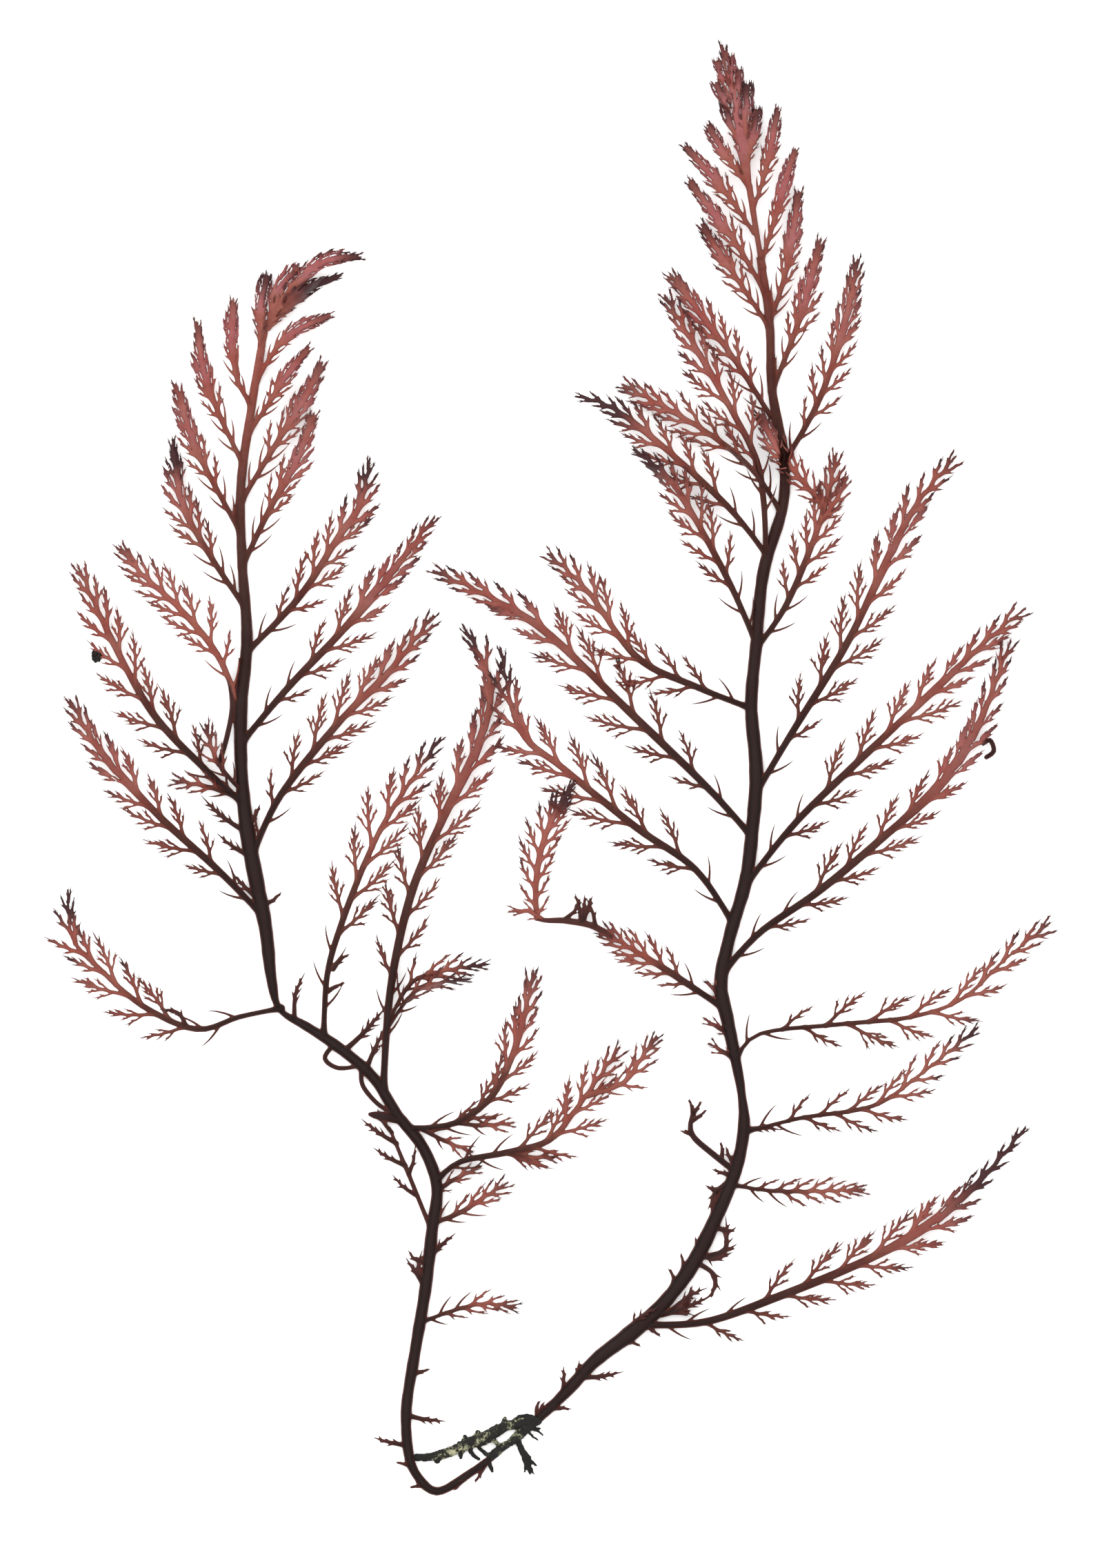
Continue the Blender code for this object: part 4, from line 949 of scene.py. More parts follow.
young = node(tree, "ShaderNodeValToRGB", {}, {"Fac": skin["web"]}, "Color", [
    (0.0, "#b46e61"), (0.35, "#b77269"), (0.8, "#bd777a")])
streaky = node(tree, "ShaderNodeMath", {"operation": "MULTIPLY_ADD"}, {0: streaks, 1: 0.5, 2: -0.25})
streaky_age = node(tree, "ShaderNodeMath", {"operation": "ADD", "use_clamp": True}, {
    0: skin["age"], 1: streaky})
old = node(tree, "ShaderNodeValToRGB", {}, {"Fac": streaky_age}, "Color", [
    (0.0, "#af6a5d"), (0.2, "#945649"), (0.45, "#5e362d"), (0.7, "#35201b"), (0.85, "#281613"),
    (1.0, "#180f0d")])
veins = node(tree, "ShaderNodeValToRGB", {}, {"Fac": streaks}, "Color", [
    (0.30, "#5f5a5c"), (0.50, "#808080"), (0.68, "#949090")])
specks = node(tree, "ShaderNodeValToRGB", {}, {"Fac": mottle}, "Color", [
    (0.35, "#6f6f6f"), (0.65, "#8f8f8f")])

oldness = node(tree, "ShaderNodeMath", {"operation": "MULTIPLY", "use_clamp": True}, {
    0: skin["age"], 1: 2.6})
patchiness = node(tree, "ShaderNodeMath", {"operation": "MULTIPLY_ADD", "use_clamp": True}, {
    0: blotches, 1: 1.6, 2: -0.5})
core = node(tree, "ShaderNodeMath", {"operation": "MULTIPLY_ADD", "use_clamp": True}, {
    0: skin["depth"], 1: 3.5, 2: -0.4})
core_by_age = node(tree, "ShaderNodeMath", {"operation": "MULTIPLY_ADD", "use_clamp": True}, {
    0: skin["age"], 1: 0.5, 2: 0.05})
cored = node(tree, "ShaderNodeMath", {"operation": "MULTIPLY"}, {0: core, 1: core_by_age})
# The rim: a painted glow of lighter red along the thin edges of old stems, where light would come through
# them, and on young tissue a slightly darker margin, partly pigment and partly painted shade.
within = node(tree, "ShaderNodeMath", {"operation": "MULTIPLY", "use_clamp": True}, {
    0: skin["depth"], 1: 7.0})
rim = node(tree, "ShaderNodeMath", {"operation": "SUBTRACT"}, {0: 1.0, 1: within})
margin_and_glow_by_age = node(tree, "ShaderNodeMath", {"operation": "MULTIPLY_ADD"}, {0: skin["age"], 1: 0.5, 2: 0.12})
margin_tint_and_edge_glow = node(tree, "ShaderNodeMath", {"operation": "MULTIPLY"}, {0: rim, 1: margin_and_glow_by_age})
tipped = node(tree, "ShaderNodeMath", {"operation": "MULTIPLY", "use_clamp": True}, {
    0: skin["tip"], 1: 1.15})
# Painted shade where the tissue lies doubled over other tissue, for the darker look of two layers.
painted_overlap_shade = node(tree, "ShaderNodeMath", {"operation": "MULTIPLY", "use_clamp": True}, {
    0: skin["under"], 1: 0.72})

# Each coat goes over the ones before it: how much of it there is, how it blends, and its colour.
colour = young
for amount, blend, coat in (
        (oldness, "MIX", old),
        (patchiness, "SOFT_LIGHT", linear("#9a5a55")),
        (0.55, "OVERLAY", veins),
        (0.35, "OVERLAY", specks),
        (cored, "MIX", linear("#281512")),
        (margin_tint_and_edge_glow, "MIX", linear("#6a352b")),
        (tipped, "MIX", linear("#391f20")),
        (painted_overlap_shade, "MIX", linear("#32191a"))):
    colour = node(tree, "ShaderNodeMix", {"data_type": "RGBA", "blend_type": blend}, {
        MIX_FACTOR: amount, MIX_FIRST: colour, MIX_SECOND: coat}, MIX_RESULT)
tree.links.new(colour, shader.inputs["Base Color"])

dampness = node(tree, "ShaderNodeMapRange", {}, {"Value": blotches, "To Min": 0.46, "To Max": 0.66})
tree.links.new(dampness, shader.inputs["Roughness"])
ridges = node(tree, "ShaderNodeMath", {"operation": "MULTIPLY"}, {0: streaks, 1: 0.7})
bumps = node(tree, "ShaderNodeMath", {"operation": "MULTIPLY"}, {0: mottle, 1: 0.3})
relief = node(tree, "ShaderNodeMath", {"operation": "ADD"}, {0: ridges, 1: bumps})
bump = node(tree, "ShaderNodeBump", {}, {"Strength": 0.35, "Distance": 0.08 * MM, "Height": relief})
tree.links.new(bump, shader.inputs["Normal"])
shader.inputs["Specular IOR Level"].default_value = 0.12


SHOOT_YOUNGER = 0.85  # a spray's age at its foot, as a share of the stem's there
SPINE_YOUNGER = 0.75


def frond(name, node_name, axis, sprays, spines, straps, light_from, light_to):
    """Grows a frond, lays it on the sheet and meshes each of its levels."""
    hairs.clear()
    levels = [new_level()]
    stem_points = stem(levels[0], axis, light_from, light_to)
    ribs = [spine(levels, width, points, [], age, True) for width, age, points in straps]
    for number, recipe in enumerate(sprays):
        age = SHOOT_YOUNGER * stem_age(stem_points, recipe[-1][0])
        ribs.append(spray(levels, recipe, number, ribs, age))
    for width, points in spines:
        spine(levels, width, points, ribs, SPINE_YOUNGER * stem_age(stem_points, points[0]))
    for level in levels:
        for line in level.slits:
            level.cut(line)
    pieces = [tissue_sheet(f"{name}_sheet_{number + 1}", level) for number, level in enumerate(levels)]
    pieces.append(needles(f"{name}_points", hairs))
    for piece in pieces:
        piece.data.materials.append(tissue_material)
        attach(piece, "root")
        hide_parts(node_name)


frond("left_frond", "left_frond", LEFT_STEM, LEFT_SPRAYS, LEFT_SPINES, LEFT_STRAPS,
      light_from=58.0, light_to=93.0)


# The right frond: the longer of the two, with a second leader, a folded strip and a plume that lies over the
# stem. The same tissue and growth as the left one; its stem stays near-black further up.
RIGHT_STEM = [
    (-2.0, 6.3, 0.7), (0.5, 8.7, 0.95), (2.9, 11.3, 1.1), (6.0, 13.7, 1.35), (8.6, 16.1, 1.15),
    (11.0, 19.4, 1.25), (13.1, 23.7, 1.15), (14.5, 27.2, 1.05), (15.1, 30.5, 1.0), (14.9, 33.2, 0.70),
    (14.6, 35.0, 0.85), (13.8, 39.0, 1.10), (13.2, 42.2, 1.15), (13.9, 46.0, 1.05),
    (15.2, 50.5, 1.1), (15.8, 55.0, 1.1),
    (16.1, 59.7, 1.15), (15.7, 65.0, 1.05), (16.1, 70.0, 1.0), (16.7, 76.0, 1.0), (18.3, 81.5, 0.9),
    (18.3, 86.0, 0.8), (17.4, 91.0, 0.75), (17.2, 96.4, 0.7), (16.5, 101.6, 0.6),
]

RIGHT_SPRAYS = [
    (0.9, 0.60, 7.2, 0.62, 1.0, 0.6, [
        (16.6, 101.0), (15.9, 105.2), (15.1, 110.0), (14.2, 115.0), (13.3, 119.2)]),
    (0.4, 0.60, 0.3, 0.50, 1.0, 0.7, [(15.2, 109.4), (15.8, 111.6), (16.1, 113.9)]),
    (0.5, 0.60, 0.3, 0.50, 1.0, 0.8, [(14.9, 111.0), (15.3, 113.4), (15.3, 116.0)]),
    (0.4, 0.60, 0.3, 0.50, 1.0, 0.9, [(14.8, 111.0), (14.0, 112.8), (13.5, 114.6)]),
    (0.5, 0.60, 0.3, 0.50, 1.0, 0.5, [(14.4, 113.2), (13.5, 114.6), (12.8, 116.1)]),
    (0.4, 0.60, 0.3, 0.40, 1.0, 0.5, [(14.3, 114.4), (14.6, 115.8), (14.6, 117.2)]),
    (0.4, 0.60, 0.3, 0.40, 1.0, 0.4, [(14.1, 115.2), (14.1, 116.8), (13.9, 118.2)]),
    (0.4, 0.60, 0.3, 0.40, 1.0, 0.4, [(14.0, 115.0), (13.3, 116.6), (12.9, 117.9)]),
    (1.0, 0.40, 0.8, 0.40, 0.8, 0.5, [(15.4, 107.6), (13.8, 109.8), (12.1, 112.7)]),
    (0.8, 0.50, 1.0, 0.45, 0.8, 0.5, [(15.9, 103.8), (13.5, 107.2), (10.3, 110.9)]),
    (1.2, 0.40, 1.2, 0.50, 0.8, 0.5, [(16.8, 99.0), (14.1, 103.4), (10.6, 108.0)]),
    (0.7, 0.50, 1.2, 0.45, 0.6, 0.7, [(17.1, 96.2), (14.6, 99.9), (11.6, 104.5)]),
    (1.3, 0.40, 1.5, 0.55, 0.6, 0.5, [(17.7, 88.1), (14.5, 93.1), (11.4, 97.3), (9.0, 100.5)]),
    (0.8, 0.50, 0.8, 0.40, 0.8, 0.6, [(15.8, 105.6), (16.9, 109.0), (17.9, 114.1)]),
    (1.1, 0.40, 1.0, 0.45, 0.9, 0.3, [(16.5, 101.3), (17.7, 105.2), (19.3, 110.7)]),
    (0.8, 0.50, 1.2, 0.50, 0.8, 0.5, [(17.1, 96.1), (18.6, 100.9), (19.6, 107.2)]),
    (1.3, 0.40, 1.4, 0.55, 0.8, 0.5, [(17.4, 90.8), (19.7, 96.9), (21.4, 103.3)]),
    (0.9, 0.50, 1.6, 0.60, 0.6, 0.7, [(18.3, 84.8), (21.3, 90.2), (23.5, 96.9), (24.4, 101.6)]),
    (1.9, 0.50, 4.0, 0.65, 0.4, 0.7, [
        (16.9, 77.2), (16.7, 81.7), (16.0, 85.4), (13.4, 90.4), (10.4, 95.6), (8.6, 98.7)]),
    (0.8, 0.40, 2.0, 0.55, 0.3, 0.5, [(18.1, 81.0), (15.6, 84.5), (11.8, 87.6), (5.1, 91.4)]),
    (1.2, 0.50, 1.8, 0.65, 0.4, 4.0, [(16.8, 77.6), (13.8, 81.3), (8.5, 86.2), (4.2, 89.5), (1.3, 90.4)]),
    (0.9, 0.40, 1.8, 0.65, 0.4, 2.0, [(16.1, 70.1), (14.0, 74.9), (11.1, 80.3), (8.8, 83.8), (6.0, 86.0)]),
    (1.4, 0.50, 1.8, 0.70, 0.2, 0.6, [(15.7, 64.8), (11.1, 66.6), (6.3, 69.0), (2.2, 74.5), (-1.0, 77.5)]),
    (0.9, 0.50, 2.5, 0.80, 0.4, 0.7, [
        (15.8, 54.2), (12.2, 58.2), (5.3, 64.9), (-1.2, 71.1), (-5.9, 74.0), (-10.4, 76.1)]),
    (1.2, 2.10, 2.5, 0.75, 0.3, 2.2, [
        (14.3, 47.0), (11.1, 51.6), (6.3, 55.0), (0.5, 59.7), (-3.3, 63.1), (-4.9, 69.8)]),
    (0.7, 0.45, 2.5, 0.70, 0.0, 0.5, [(13.3, 40.3), (8.8, 43.3), (6.0, 45.0), (3.4, 46.6)]),
    (1.0, 1.20, 0.5, 0.60, 0.3, 1.8, [(-1.9, 47.6), (-2.0, 50.0), (-1.6, 53.0), (-0.6, 55.8), (1.2, 58.9)]),
    (0.4, 0.40, 0.5, 0.40, 0.0, 0.3, [(-1.5, 47.5), (-2.6, 48.2), (-4.2, 48.1)]),
    (1.2, 0.50, 1.8, 0.65, 0.3, 0.4, [(16.2, 69.8), (18.4, 73.0), (20.3, 77.3), (21.8, 81.6), (22.7, 85.7)]),
    (1.5, 1.60, 0.3, 0.50, 0.5, 0.6, [(21.6, 81.4), (19.2, 84.2), (17.7, 86.2), (16.4, 88.9)]),
    (0.6, 0.50, 0.6, 0.45, 0.2, 0.4, [(21.2, 79.9), (22.6, 81.8), (23.6, 83.8)]),
    (1.4, 0.40, 2.5, 0.75, 0.5, 0.6, [
        (15.9, 57.5), (18.9, 62.6), (23.4, 69.9), (26.2, 75.6), (29.1, 81.3), (32.5, 85.5)]),
    (0.9, 0.50, 2.0, 0.75, 0.4, 0.5, [
        (15.3, 50.4), (19.3, 55.4), (24.2, 60.2), (31.0, 66.6), (35.5, 70.8), (38.2, 73.0)]),
    (1.4, 0.40, 1.8, 0.80, 0.6, 0.6, [
        (13.5, 43.3), (16.5, 46.5), (21.2, 49.8), (26.0, 53.8), (31.0, 58.4), (34.2, 63.2), (37.0, 70.4)]),
    (0.9, 0.50, 2.0, 0.46, 0.2, 0.6, [
        (14.4, 35.9), (16.4, 38.1), (23.0, 38.9), (28.8, 39.5), (33.0, 41.0), (36.5, 44.2), (40.2, 47.2)]),
    (1.3, 0.40, 1.6, 0.44, 0.1, 1.3, [(15.1, 30.0), (19.7, 31.2), (25.6, 32.2), (29.3, 34.6), (34.3, 38.6)]),
    (0.7, 0.50, 1.0, 0.38, 0.0, 0.4, [(14.2, 25.7), (18.0, 25.2), (25.0, 25.3)]),
    (0.9, 0.50, 2.2, 0.85, 0.5, 7.0, [
        (6.8, 14.2), (12.0, 14.5), (18.0, 16.6), (25.0, 19.5), (30.0, 22.3), (34.2, 25.8), (38.2, 30.4)]),
    (0.5, 0.45, 0.6, 0.40, 0.0, 0.5, [(14.1, 38.1), (13.0, 38.6), (11.8, 39.4)]),
    (0.5, 0.45, 0.6, 0.40, 0.0, 0.5, [(14.3, 36.0), (13.3, 36.7), (12.2, 37.3)]),
    (0.5, 0.45, 0.6, 0.40, 0.0, 0.5, [(13.4, 40.6), (12.8, 41.5), (12.1, 42.4)]),
]

RIGHT_SPINES = [
    (0.35, [(-1.9, 6.7), (-1.95, 7.5), (-1.55, 8.05)]),
    (0.35, [(-1.6, 7.0), (-1.5, 7.6), (-1.2, 7.95)]),
    (0.35, [(-1.2, 7.2), (-1.1, 7.6), (-0.8, 7.9)]),
    (0.45, [(0.2, 8.4), (0.3, 9.6), (0.3, 10.9)]),
    (0.45, [(1.0, 9.2), (1.4, 10.2), (1.6, 11.4)]),
    (0.50, [(1.6, 9.9), (3.4, 10.0), (5.3, 10.4)]),
    (0.45, [(9.2, 17.2), (9.3, 18.2), (8.8, 18.9)]),
    (0.45, [(10.1, 18.5), (10.1, 19.3), (9.9, 20.2)]),
    (0.50, [(5.2, 13.2), (6.7, 12.4)]),
    (0.50, [(7.0, 14.3), (8.3, 13.2)]),
    (0.45, [(-0.9, 7.3), (0.0, 7.4), (1.0, 7.3)]),
    (0.45, [(14.2, 26.4), (12.4, 27.0)]),
    (0.55, [(14.2, 26.2), (12.7, 25.0), (12.5, 23.6), (13.0, 22.6)]),
    (0.45, [(12.9, 25.1), (11.9, 25.7)]),
    (0.50, [(14.5, 27.2), (13.9, 28.0), (13.6, 28.9)]),
    (0.55, [(12.6, 22.3), (13.9, 21.9), (14.5, 22.3)]),
    (0.50, [(15.0, 30.2), (16.7, 30.4), (18.2, 30.2)]),
    (0.40, [(1.7, 47.3), (1.6, 48.4), (1.2, 49.7)]),
    (0.40, [(1.8, 47.3), (2.0, 48.5), (2.0, 49.6)]),
    (0.40, [(1.9, 47.2), (2.3, 48.4), (2.7, 49.5)]),
    (0.40, [(0.5, 47.6), (1.2, 48.2), (1.7, 49.2)]),
    (0.40, [(2.9, 47.0), (2.7, 48.0), (2.2, 49.2)]),
    (0.55, [(7.9, 15.0), (10.4, 15.7), (12.6, 16.7)]),
    (0.45, [(9.0, 15.3), (10.6, 16.6), (12.2, 17.3)]),
    (0.40, [(10.4, 15.8), (10.6, 16.7), (10.9, 17.5)]),
    (0.40, [(8.4, 15.0), (9.8, 15.3), (11.0, 15.0)]),
    (0.50, [(11.3, 19.3), (12.6, 18.4), (12.7, 17.2), (11.8, 16.2)]),
    (0.55, [(11.6, 19.8), (13.0, 20.0), (14.6, 20.9)]),
    (0.45, [(12.2, 19.9), (13.6, 20.6), (13.6, 23.2)]),
    (0.45, [(11.4, 20.2), (12.6, 19.6), (14.2, 20.2)]),
    (0.40, [(11.6, 20.5), (11.2, 20.9), (11.1, 21.5)]),
    (0.40, [(4.9, 13.0), (6.6, 14.9), (8.6, 15.9)]),
    (0.40, [(10.95, 31.0), (11.5, 31.4), (12.1, 31.9)]),
    (0.40, [(10.9, 31.4), (11.3, 32.1), (11.7, 32.6)]),
    (0.40, [(10.9, 31.5), (10.8, 32.1), (10.6, 32.8)]),
    (0.40, [(10.8, 29.9), (10.3, 30.0), (9.8, 30.2)]),
    (0.40, [(13.3, 28.0), (13.3, 28.6), (13.2, 29.3)]),
]

RIGHT_STRAPS = [
    (0.60, 0.9, [(14.5, 26.7), (12.6, 28.2), (11.0, 29.6), (10.7, 30.6), (10.95, 31.7)]),
    (0.45, 0.9, [(35.0, 60.8), (35.6, 61.3), (35.3, 62.2), (34.7, 61.8)]),
    (0.62, 0.5, [(4.2, 46.1), (3.2, 46.7), (2.2, 47.1), (0.3, 47.4), (-1.0, 47.4), (-1.9, 47.5)]),
]

frond("right_frond", "right_frond", RIGHT_STEM, RIGHT_SPRAYS, RIGHT_SPINES,
      RIGHT_STRAPS, light_from=62.0, light_to=108.0)


# The holdfast: the short creeping strand that both fronds grow from, black-green and knobbly, with small
# dark lobes below it. A pale lime crust has grown over it in grains, thickest on its left half.

# Each row is x, y, radius and how much crust there is, from 0 to 1.
STRAND = [
    (-11.75, 3.35, 0.32, 0.0), (-10.9, 3.35, 0.34, 0.1), (-10.1, 3.5, 0.38, 0.7), (-9.2, 3.75, 0.44, 1.0),
    (-8.2, 4.15, 0.42, 0.9), (-7.2, 4.6, 0.52, 0.7), (-6.2, 4.85, 0.50, 0.8), (-5.3, 5.40, 0.44, 0.6),
    (-4.4, 5.95, 0.44, 0.75), (-3.6, 6.0, 0.38, 0.4), (-2.7, 6.25, 0.42, 0.3), (-1.9, 6.35, 0.42, 0.1),
]
LOWER_STRAND = [
    (-5.6, 3.45, 0.36, 0.2), (-4.9, 4.05, 0.36, 0.55), (-4.2, 4.5, 0.34, 0.7), (-3.4, 5.0, 0.32, 0.7),
    (-2.8, 5.6, 0.32, 0.6), (-2.2, 6.1, 0.34, 0.3),
]
LOBES = [
    [(-7.1, 4.6, 0.26, 0.4), (-7.35, 4.0, 0.20, 0.2), (-7.1, 3.5, 0.17, 0.0), (-6.7, 3.25, 0.15, 0.0)],
    [(-3.5, 4.8, 0.26, 0.0), (-3.2, 4.0, 0.24, 0.0), (-2.9, 3.3, 0.26, 0.0), (-2.85, 2.7, 0.16, 0.2),
     (-2.9, 2.15, 0.09, 0.3)],
    [(-3.0, 3.5, 0.22, 0.0), (-2.6, 2.8, 0.19, 0.0), (-2.3, 2.2, 0.12, 0.1), (-2.1, 1.95, 0.08, 0.0)],
    [(-3.1, 3.7, 0.20, 0.0), (-2.5, 3.1, 0.17, 0.0), (-1.95, 2.65, 0.09, 0.0)],
    [(-3.3, 4.4, 0.20, 0.0), (-2.9, 3.8, 0.14, 0.0), (-2.4, 3.35, 0.08, 0.0)],
    [(-2.9, 3.2, 0.20, 0.1), (-2.6, 2.4, 0.15, 0.1), (-2.45, 1.95, 0.08, 0.0)],
    [(-2.6, 5.8, 0.24, 0.0), (-1.9, 5.55, 0.14, 0.0), (-1.4, 5.15, 0.07, 0.0)],
    [(-2.1, 5.7, 0.14, 0.0), (-1.6, 5.7, 0.07, 0.0)],
    [(-2.6, 5.5, 0.16, 0.0), (-2.2, 5.0, 0.11, 0.0), (-1.8, 4.75, 0.07, 0.0)],
    [(-5.9, 3.1, 0.20, 0.0), (-5.7, 2.55, 0.19, 0.0), (-5.55, 2.2, 0.10, 0.0)],
    [(-8.2, 3.9, 0.24, 0.7), (-8.15, 3.35, 0.16, 0.3)],
    [(-7.9, 4.5, 0.28, 0.6), (-7.8, 5.0, 0.22, 0.7)],
    [(-9.9, 3.4, 0.30, 0.5), (-10.1, 3.05, 0.26, 0.2)],
    [(-6.9, 4.7, 0.22, 0.5), (-6.6, 4.1, 0.17, 0.5), (-6.0, 3.6, 0.18, 0.6), (-5.4, 3.7, 0.20, 0.6)],
    [(-5.6, 5.0, 0.20, 0.9), (-5.2, 4.5, 0.18, 0.9), (-4.7, 4.3, 0.20, 0.6)],
    [(-6.4, 5.2, 0.18, 0.6), (-5.8, 5.6, 0.14, 0.6), (-5.2, 5.95, 0.13, 0.6)],
    [(-3.9, 6.3, 0.14, 0.4), (-3.3, 6.7, 0.15, 0.3), (-2.5, 6.75, 0.14, 0.1), (-1.9, 6.6, 0.15, 0.0)],
    [(-4.3, 4.6, 0.12, 0.7), (-3.6, 5.4, 0.13, 0.8), (-2.9, 6.0, 0.14, 0.5)],
    [(-6.9, 5.0, 0.30, 0.8), (-6.75, 5.4, 0.20, 0.8)],
    [(-4.6, 6.3, 0.22, 0.9), (-4.5, 6.6, 0.14, 0.9)],
]
CRUST_GRAINS = 260
SUNK = 0.86  # the strand lies on the sheet with its underside a little flattened
KNOB_SIZE = 0.28 * MM
BLOCK = 4000  # corners looked at together
strand_beads = []


def bead(beads, x, y, z, radius, crust):
    """Adds a ball, and what is needed later to tell which ball a corner came from."""
    bpy.ops.mesh.primitive_ico_sphere_add(
        subdivisions=2, radius=radius * MM,
        location=((x - SHEET_CENTRE[0]) * MM, (y - SHEET_CENTRE[1]) * MM, z * MM))
    beads.append((bpy.context.object, (x, y, radius, crust)))


def grown_together(name, beads, voxel_mm, knob_mm):
    """The balls as one lumpy body, with the crust of the nearest ball as an attribute of its corners."""
    bpy.ops.object.select_all(action="DESELECT")
    for obj, _ in beads:
        obj.select_set(True)
    body = beads[0][0]
    bpy.context.view_layer.objects.active = body
    bpy.ops.object.join()
    bpy.ops.object.transform_apply(location=True, rotation=True, scale=True)
    body.name = name
    applied(body, "REMESH", mode="VOXEL", voxel_size=voxel_mm * MM, use_smooth_shade=True)
    applied(body, "SMOOTH", factor=0.5, iterations=2)
    knobs = bpy.data.textures.new(f"{name}_knobs", "CLOUDS")
    knobs.noise_scale = KNOB_SIZE
    knobs.noise_depth = 2
    applied(body, "DISPLACE", texture=knobs, strength=knob_mm * MM, mid_level=0.5, texture_coords="LOCAL")
    facts = np.array([row[1] for row in beads])
    corners = np.empty(len(body.data.vertices) * 3, np.float32)
    body.data.vertices.foreach_get("co", corners)
    corners = corners.reshape(-1, 3)
    flat = corners[:, :2] / MM + SHEET_CENTRE
    crusted = np.empty(len(flat), np.float32)
    for block in range(0, len(flat), BLOCK):
        away = flat[block:block + BLOCK, None, :] - facts[None, :, :2]
        gap = np.hypot(away[..., 0], away[..., 1]) - facts[None, :, 2]
        crusted[block:block + BLOCK] = facts[gap.argmin(1), 3]
    body.data.attributes.new("crust", "FLOAT", "POINT").data.foreach_set("value", crusted)
    corners[:, 2] = np.maximum(corners[:, 2], 0.0)
    body.data.vertices.foreach_set("co", corners.ravel())
    return body


for chain in [STRAND, LOWER_STRAND] + LOBES:
    for x, y, radius, crust in smooth_route(chain, 0.12):
        bead(strand_beads, x, y, SUNK * radius, radius, crust)
draw = random.Random(5)
strand_route = smooth_route(STRAND, 0.1) + smooth_route(LOWER_STRAND, 0.25)
for _ in range(CRUST_GRAINS):
    x, y, radius, crust = draw.choice(strand_route)
    if draw.random() > crust:
        continue
    turn = draw.uniform(0, 2 * math.pi)
    out = radius * draw.uniform(0.55, 1.05)
    rise = math.sqrt(max(0.0, radius * radius - out * out)) if out < radius else 0.0
    size = draw.uniform(0.06, 0.17)
    top = SUNK * radius + rise * draw.choice((1.0, 1.0, 0.4))
    bead(strand_beads, x + out * math.cos(turn), y + out * math.sin(turn), max(size, top), size, 1.0)

holdfast = grown_together("crusted_holdfast", strand_beads, voxel_mm=0.055, knob_mm=0.16)


# Lime crust on old tissue: matt pale olive-grey grains with black-green tissue between and below them.
crust_material = bpy.data.materials.new("lime_crust_on_old_tissue")
crust_material.use_nodes = True
tree = crust_material.node_tree
shader = tree.nodes["Principled BSDF"]
place = node(tree, "ShaderNodeTexCoord", {}, {}, "Object")
patches = node(tree, "ShaderNodeTexNoise", {}, {
    "Vector": place, "Scale": 1300.0, "Detail": 4.0, "Roughness": 0.65})  # about 0.8 mm across
grains = node(tree, "ShaderNodeTexVoronoi", {}, {
    "Vector": place, "Scale": 6500.0}, "Distance")  # about 0.15 mm each
growth = node(tree, "ShaderNodeAttribute", {"attribute_name": "crust"}, {}, "Fac")
amount = node(tree, "ShaderNodeMath", {"operation": "MULTIPLY_ADD"}, {0: growth, 1: 0.34, 2: -0.20})
reached = node(tree, "ShaderNodeMath", {"operation": "ADD"}, {0: amount, 1: patches})
grain_shade = node(tree, "ShaderNodeMath", {"operation": "MULTIPLY_ADD"}, {0: grains, 1: -0.22, 2: reached})
colour = node(tree, "ShaderNodeValToRGB", {}, {"Fac": grain_shade}, "Color", [
    (0.0, "#12110f"), (0.44, "#1b1a17"), (0.50, "#3d3d30"), (0.56, "#7c7d64"), (0.70, "#a09f80")])
tree.links.new(colour, shader.inputs["Base Color"])
shader.inputs["Roughness"].default_value = 0.82
shader.inputs["Specular IOR Level"].default_value = 0.25
relief = node(tree, "ShaderNodeBump", {"invert": True}, {
    "Strength": 0.6, "Distance": 0.05 * MM, "Height": grains})
tree.links.new(relief, shader.inputs["Normal"])
holdfast.data.materials.clear()
holdfast.data.materials.append(crust_material)
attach(holdfast, "root")
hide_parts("holdfast")


# A clump of black-green grains, about a millimetre across, that has settled on a branchlet of the left
# frond. It is the same old crusted matter as the holdfast's, stuck on and not grown from the frond.
CLUMP = (-38.0, 69.1, 0.95)
CLUMP_HALF_SIZE = (0.42, 0.50, 0.3)
CLUMP_GRAINS = 70
clump_beads = []
draw = random.Random(8)
for _ in range(CLUMP_GRAINS):
    turn = draw.uniform(0, 2 * math.pi)
    out = math.sqrt(draw.random())
    size = draw.uniform(0.07, 0.13)
    x = CLUMP[0] + CLUMP_HALF_SIZE[0] * out * math.cos(turn)
    y = CLUMP[1] + CLUMP_HALF_SIZE[1] * out * math.sin(turn)
    z = CLUMP[2] + draw.uniform(-CLUMP_HALF_SIZE[2], CLUMP_HALF_SIZE[2]) * math.sqrt(1 - out * out)
    bead(clump_beads, x, y, z, size, 0.35 * draw.random())
clump = grown_together("dark_grain_clump", clump_beads, voxel_mm=0.05, knob_mm=0.05)
clump.data.materials.clear()
clump.data.materials.append(crust_material)
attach(clump, "root")


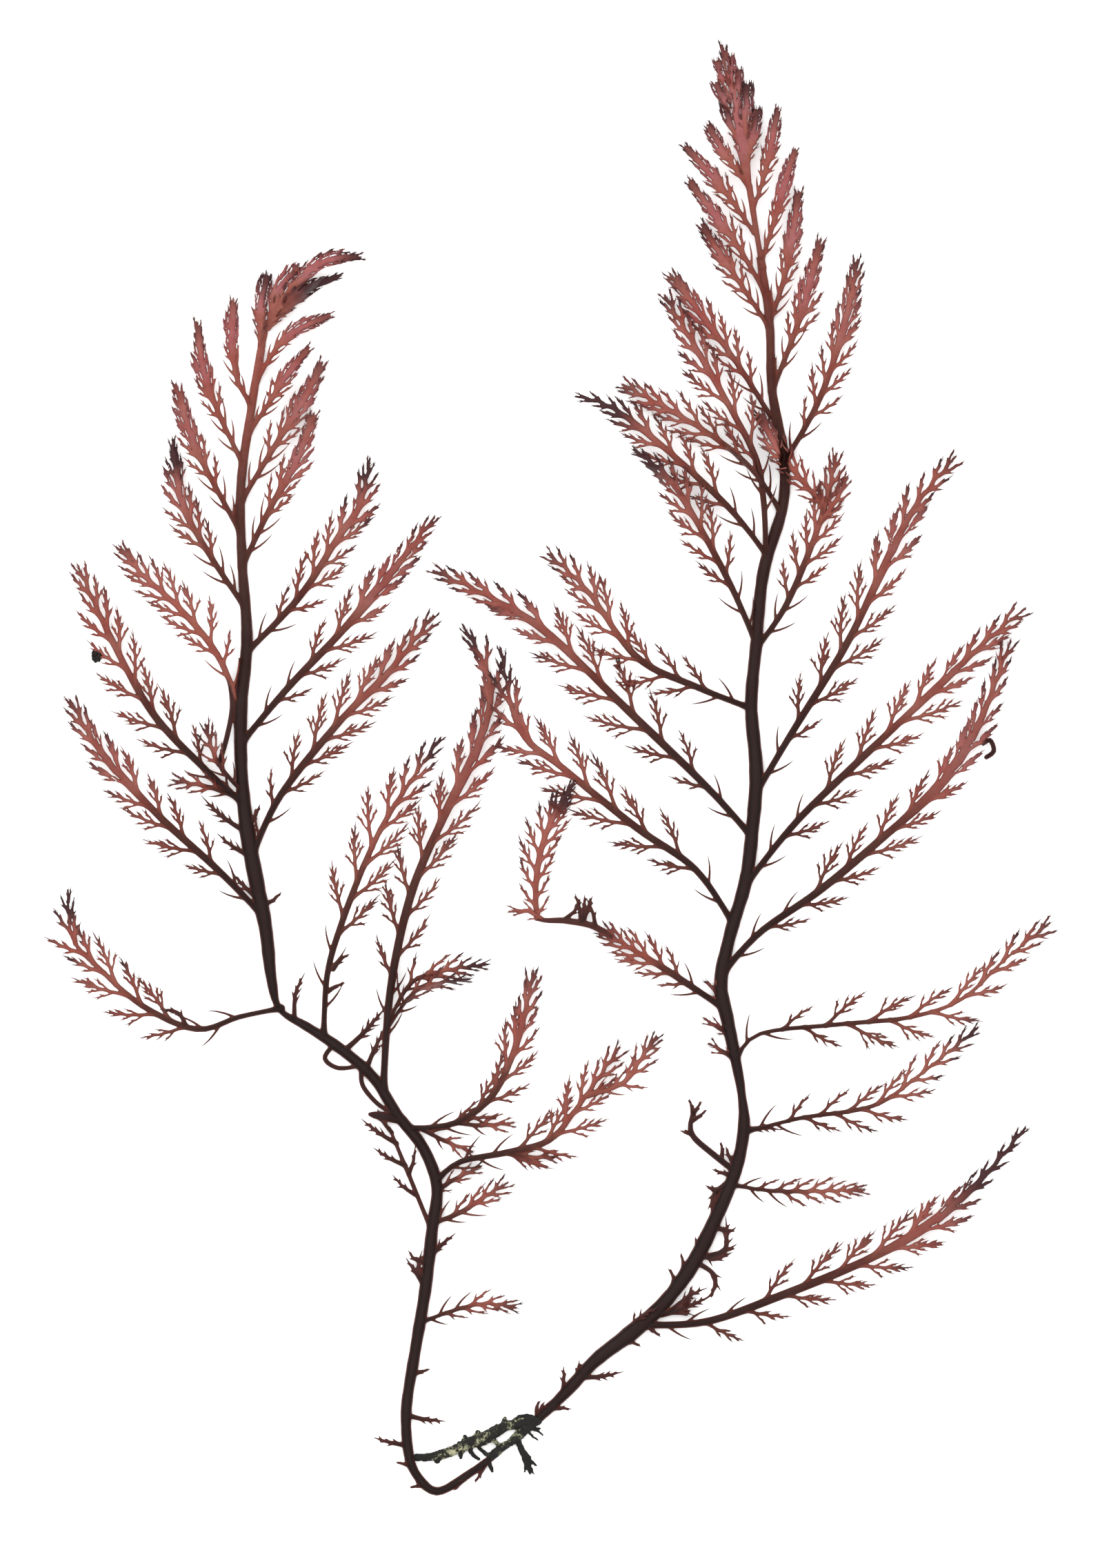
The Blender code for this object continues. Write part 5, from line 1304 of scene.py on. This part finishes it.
# The sheet, light and camera of a specimen photographed from straight above: a plain pale surface, a broad
# soft light from the upper left and a long lens, so that nothing leans.
bpy.ops.mesh.primitive_plane_add(size=3.0, location=(0.0, 0.0, -0.00002))
surface = bpy.context.object
surface.name = "pale_surface"
pale = bpy.data.materials.new("pale_matt_card")
pale.use_nodes = True
for key, value in (
        ("Base Color", (0.88, 0.88, 0.88, 1.0)), ("Roughness", 0.9), ("Specular IOR Level", 0.1),
        ("Emission Color", (1.0, 1.0, 1.0, 1.0)), ("Emission Strength", 0.2)):
    pale.node_tree.nodes["Principled BSDF"].inputs[key].default_value = value
surface.data.materials.append(pale)

world = bpy.data.worlds.new("soft_studio")
bpy.context.scene.world = world
world.use_nodes = True
world.node_tree.nodes["Background"].inputs["Color"].default_value = (1.0, 0.99, 0.98, 1.0)
world.node_tree.nodes["Background"].inputs["Strength"].default_value = 0.95

LAMP_SIZE = 1.2
for light_name, place, power in (
        ("soft_light_upper_left", (-0.35, 0.35, 1.0), 11.0), ("soft_light_right", (0.5, -0.2, 1.0), 4.0)):
    lamp = bpy.data.lights.new(light_name, "AREA")
    lamp.size = LAMP_SIZE
    lamp.energy = power
    holder = bpy.data.objects.new(light_name, lamp)
    holder.location = place
    holder.rotation_mode = "QUATERNION"
    holder.rotation_quaternion = (-Vector(place)).to_track_quat("-Z", "Y")
    bpy.context.scene.collection.objects.link(holder)

FRAME_HEIGHT = 128.7 * MM  # what the photograph shows from its top edge to its bottom edge
FRAME_MIDDLE = (0.0, 58.6)
CAMERA_DISTANCE = 1.2
lens = bpy.data.cameras.new("overhead_camera")
lens.sensor_width = 36.0
lens.lens = lens.sensor_width * CAMERA_DISTANCE / FRAME_HEIGHT
lens.clip_start, lens.clip_end = 0.1, 10.0
camera = bpy.data.objects.new("overhead_camera", lens)
camera.location = (
    (FRAME_MIDDLE[0] - SHEET_CENTRE[0]) * MM, (FRAME_MIDDLE[1] - SHEET_CENTRE[1]) * MM, CAMERA_DISTANCE)
bpy.context.scene.collection.objects.link(camera)
bpy.context.scene.camera = camera
bpy.context.scene.view_settings.view_transform = "Standard"
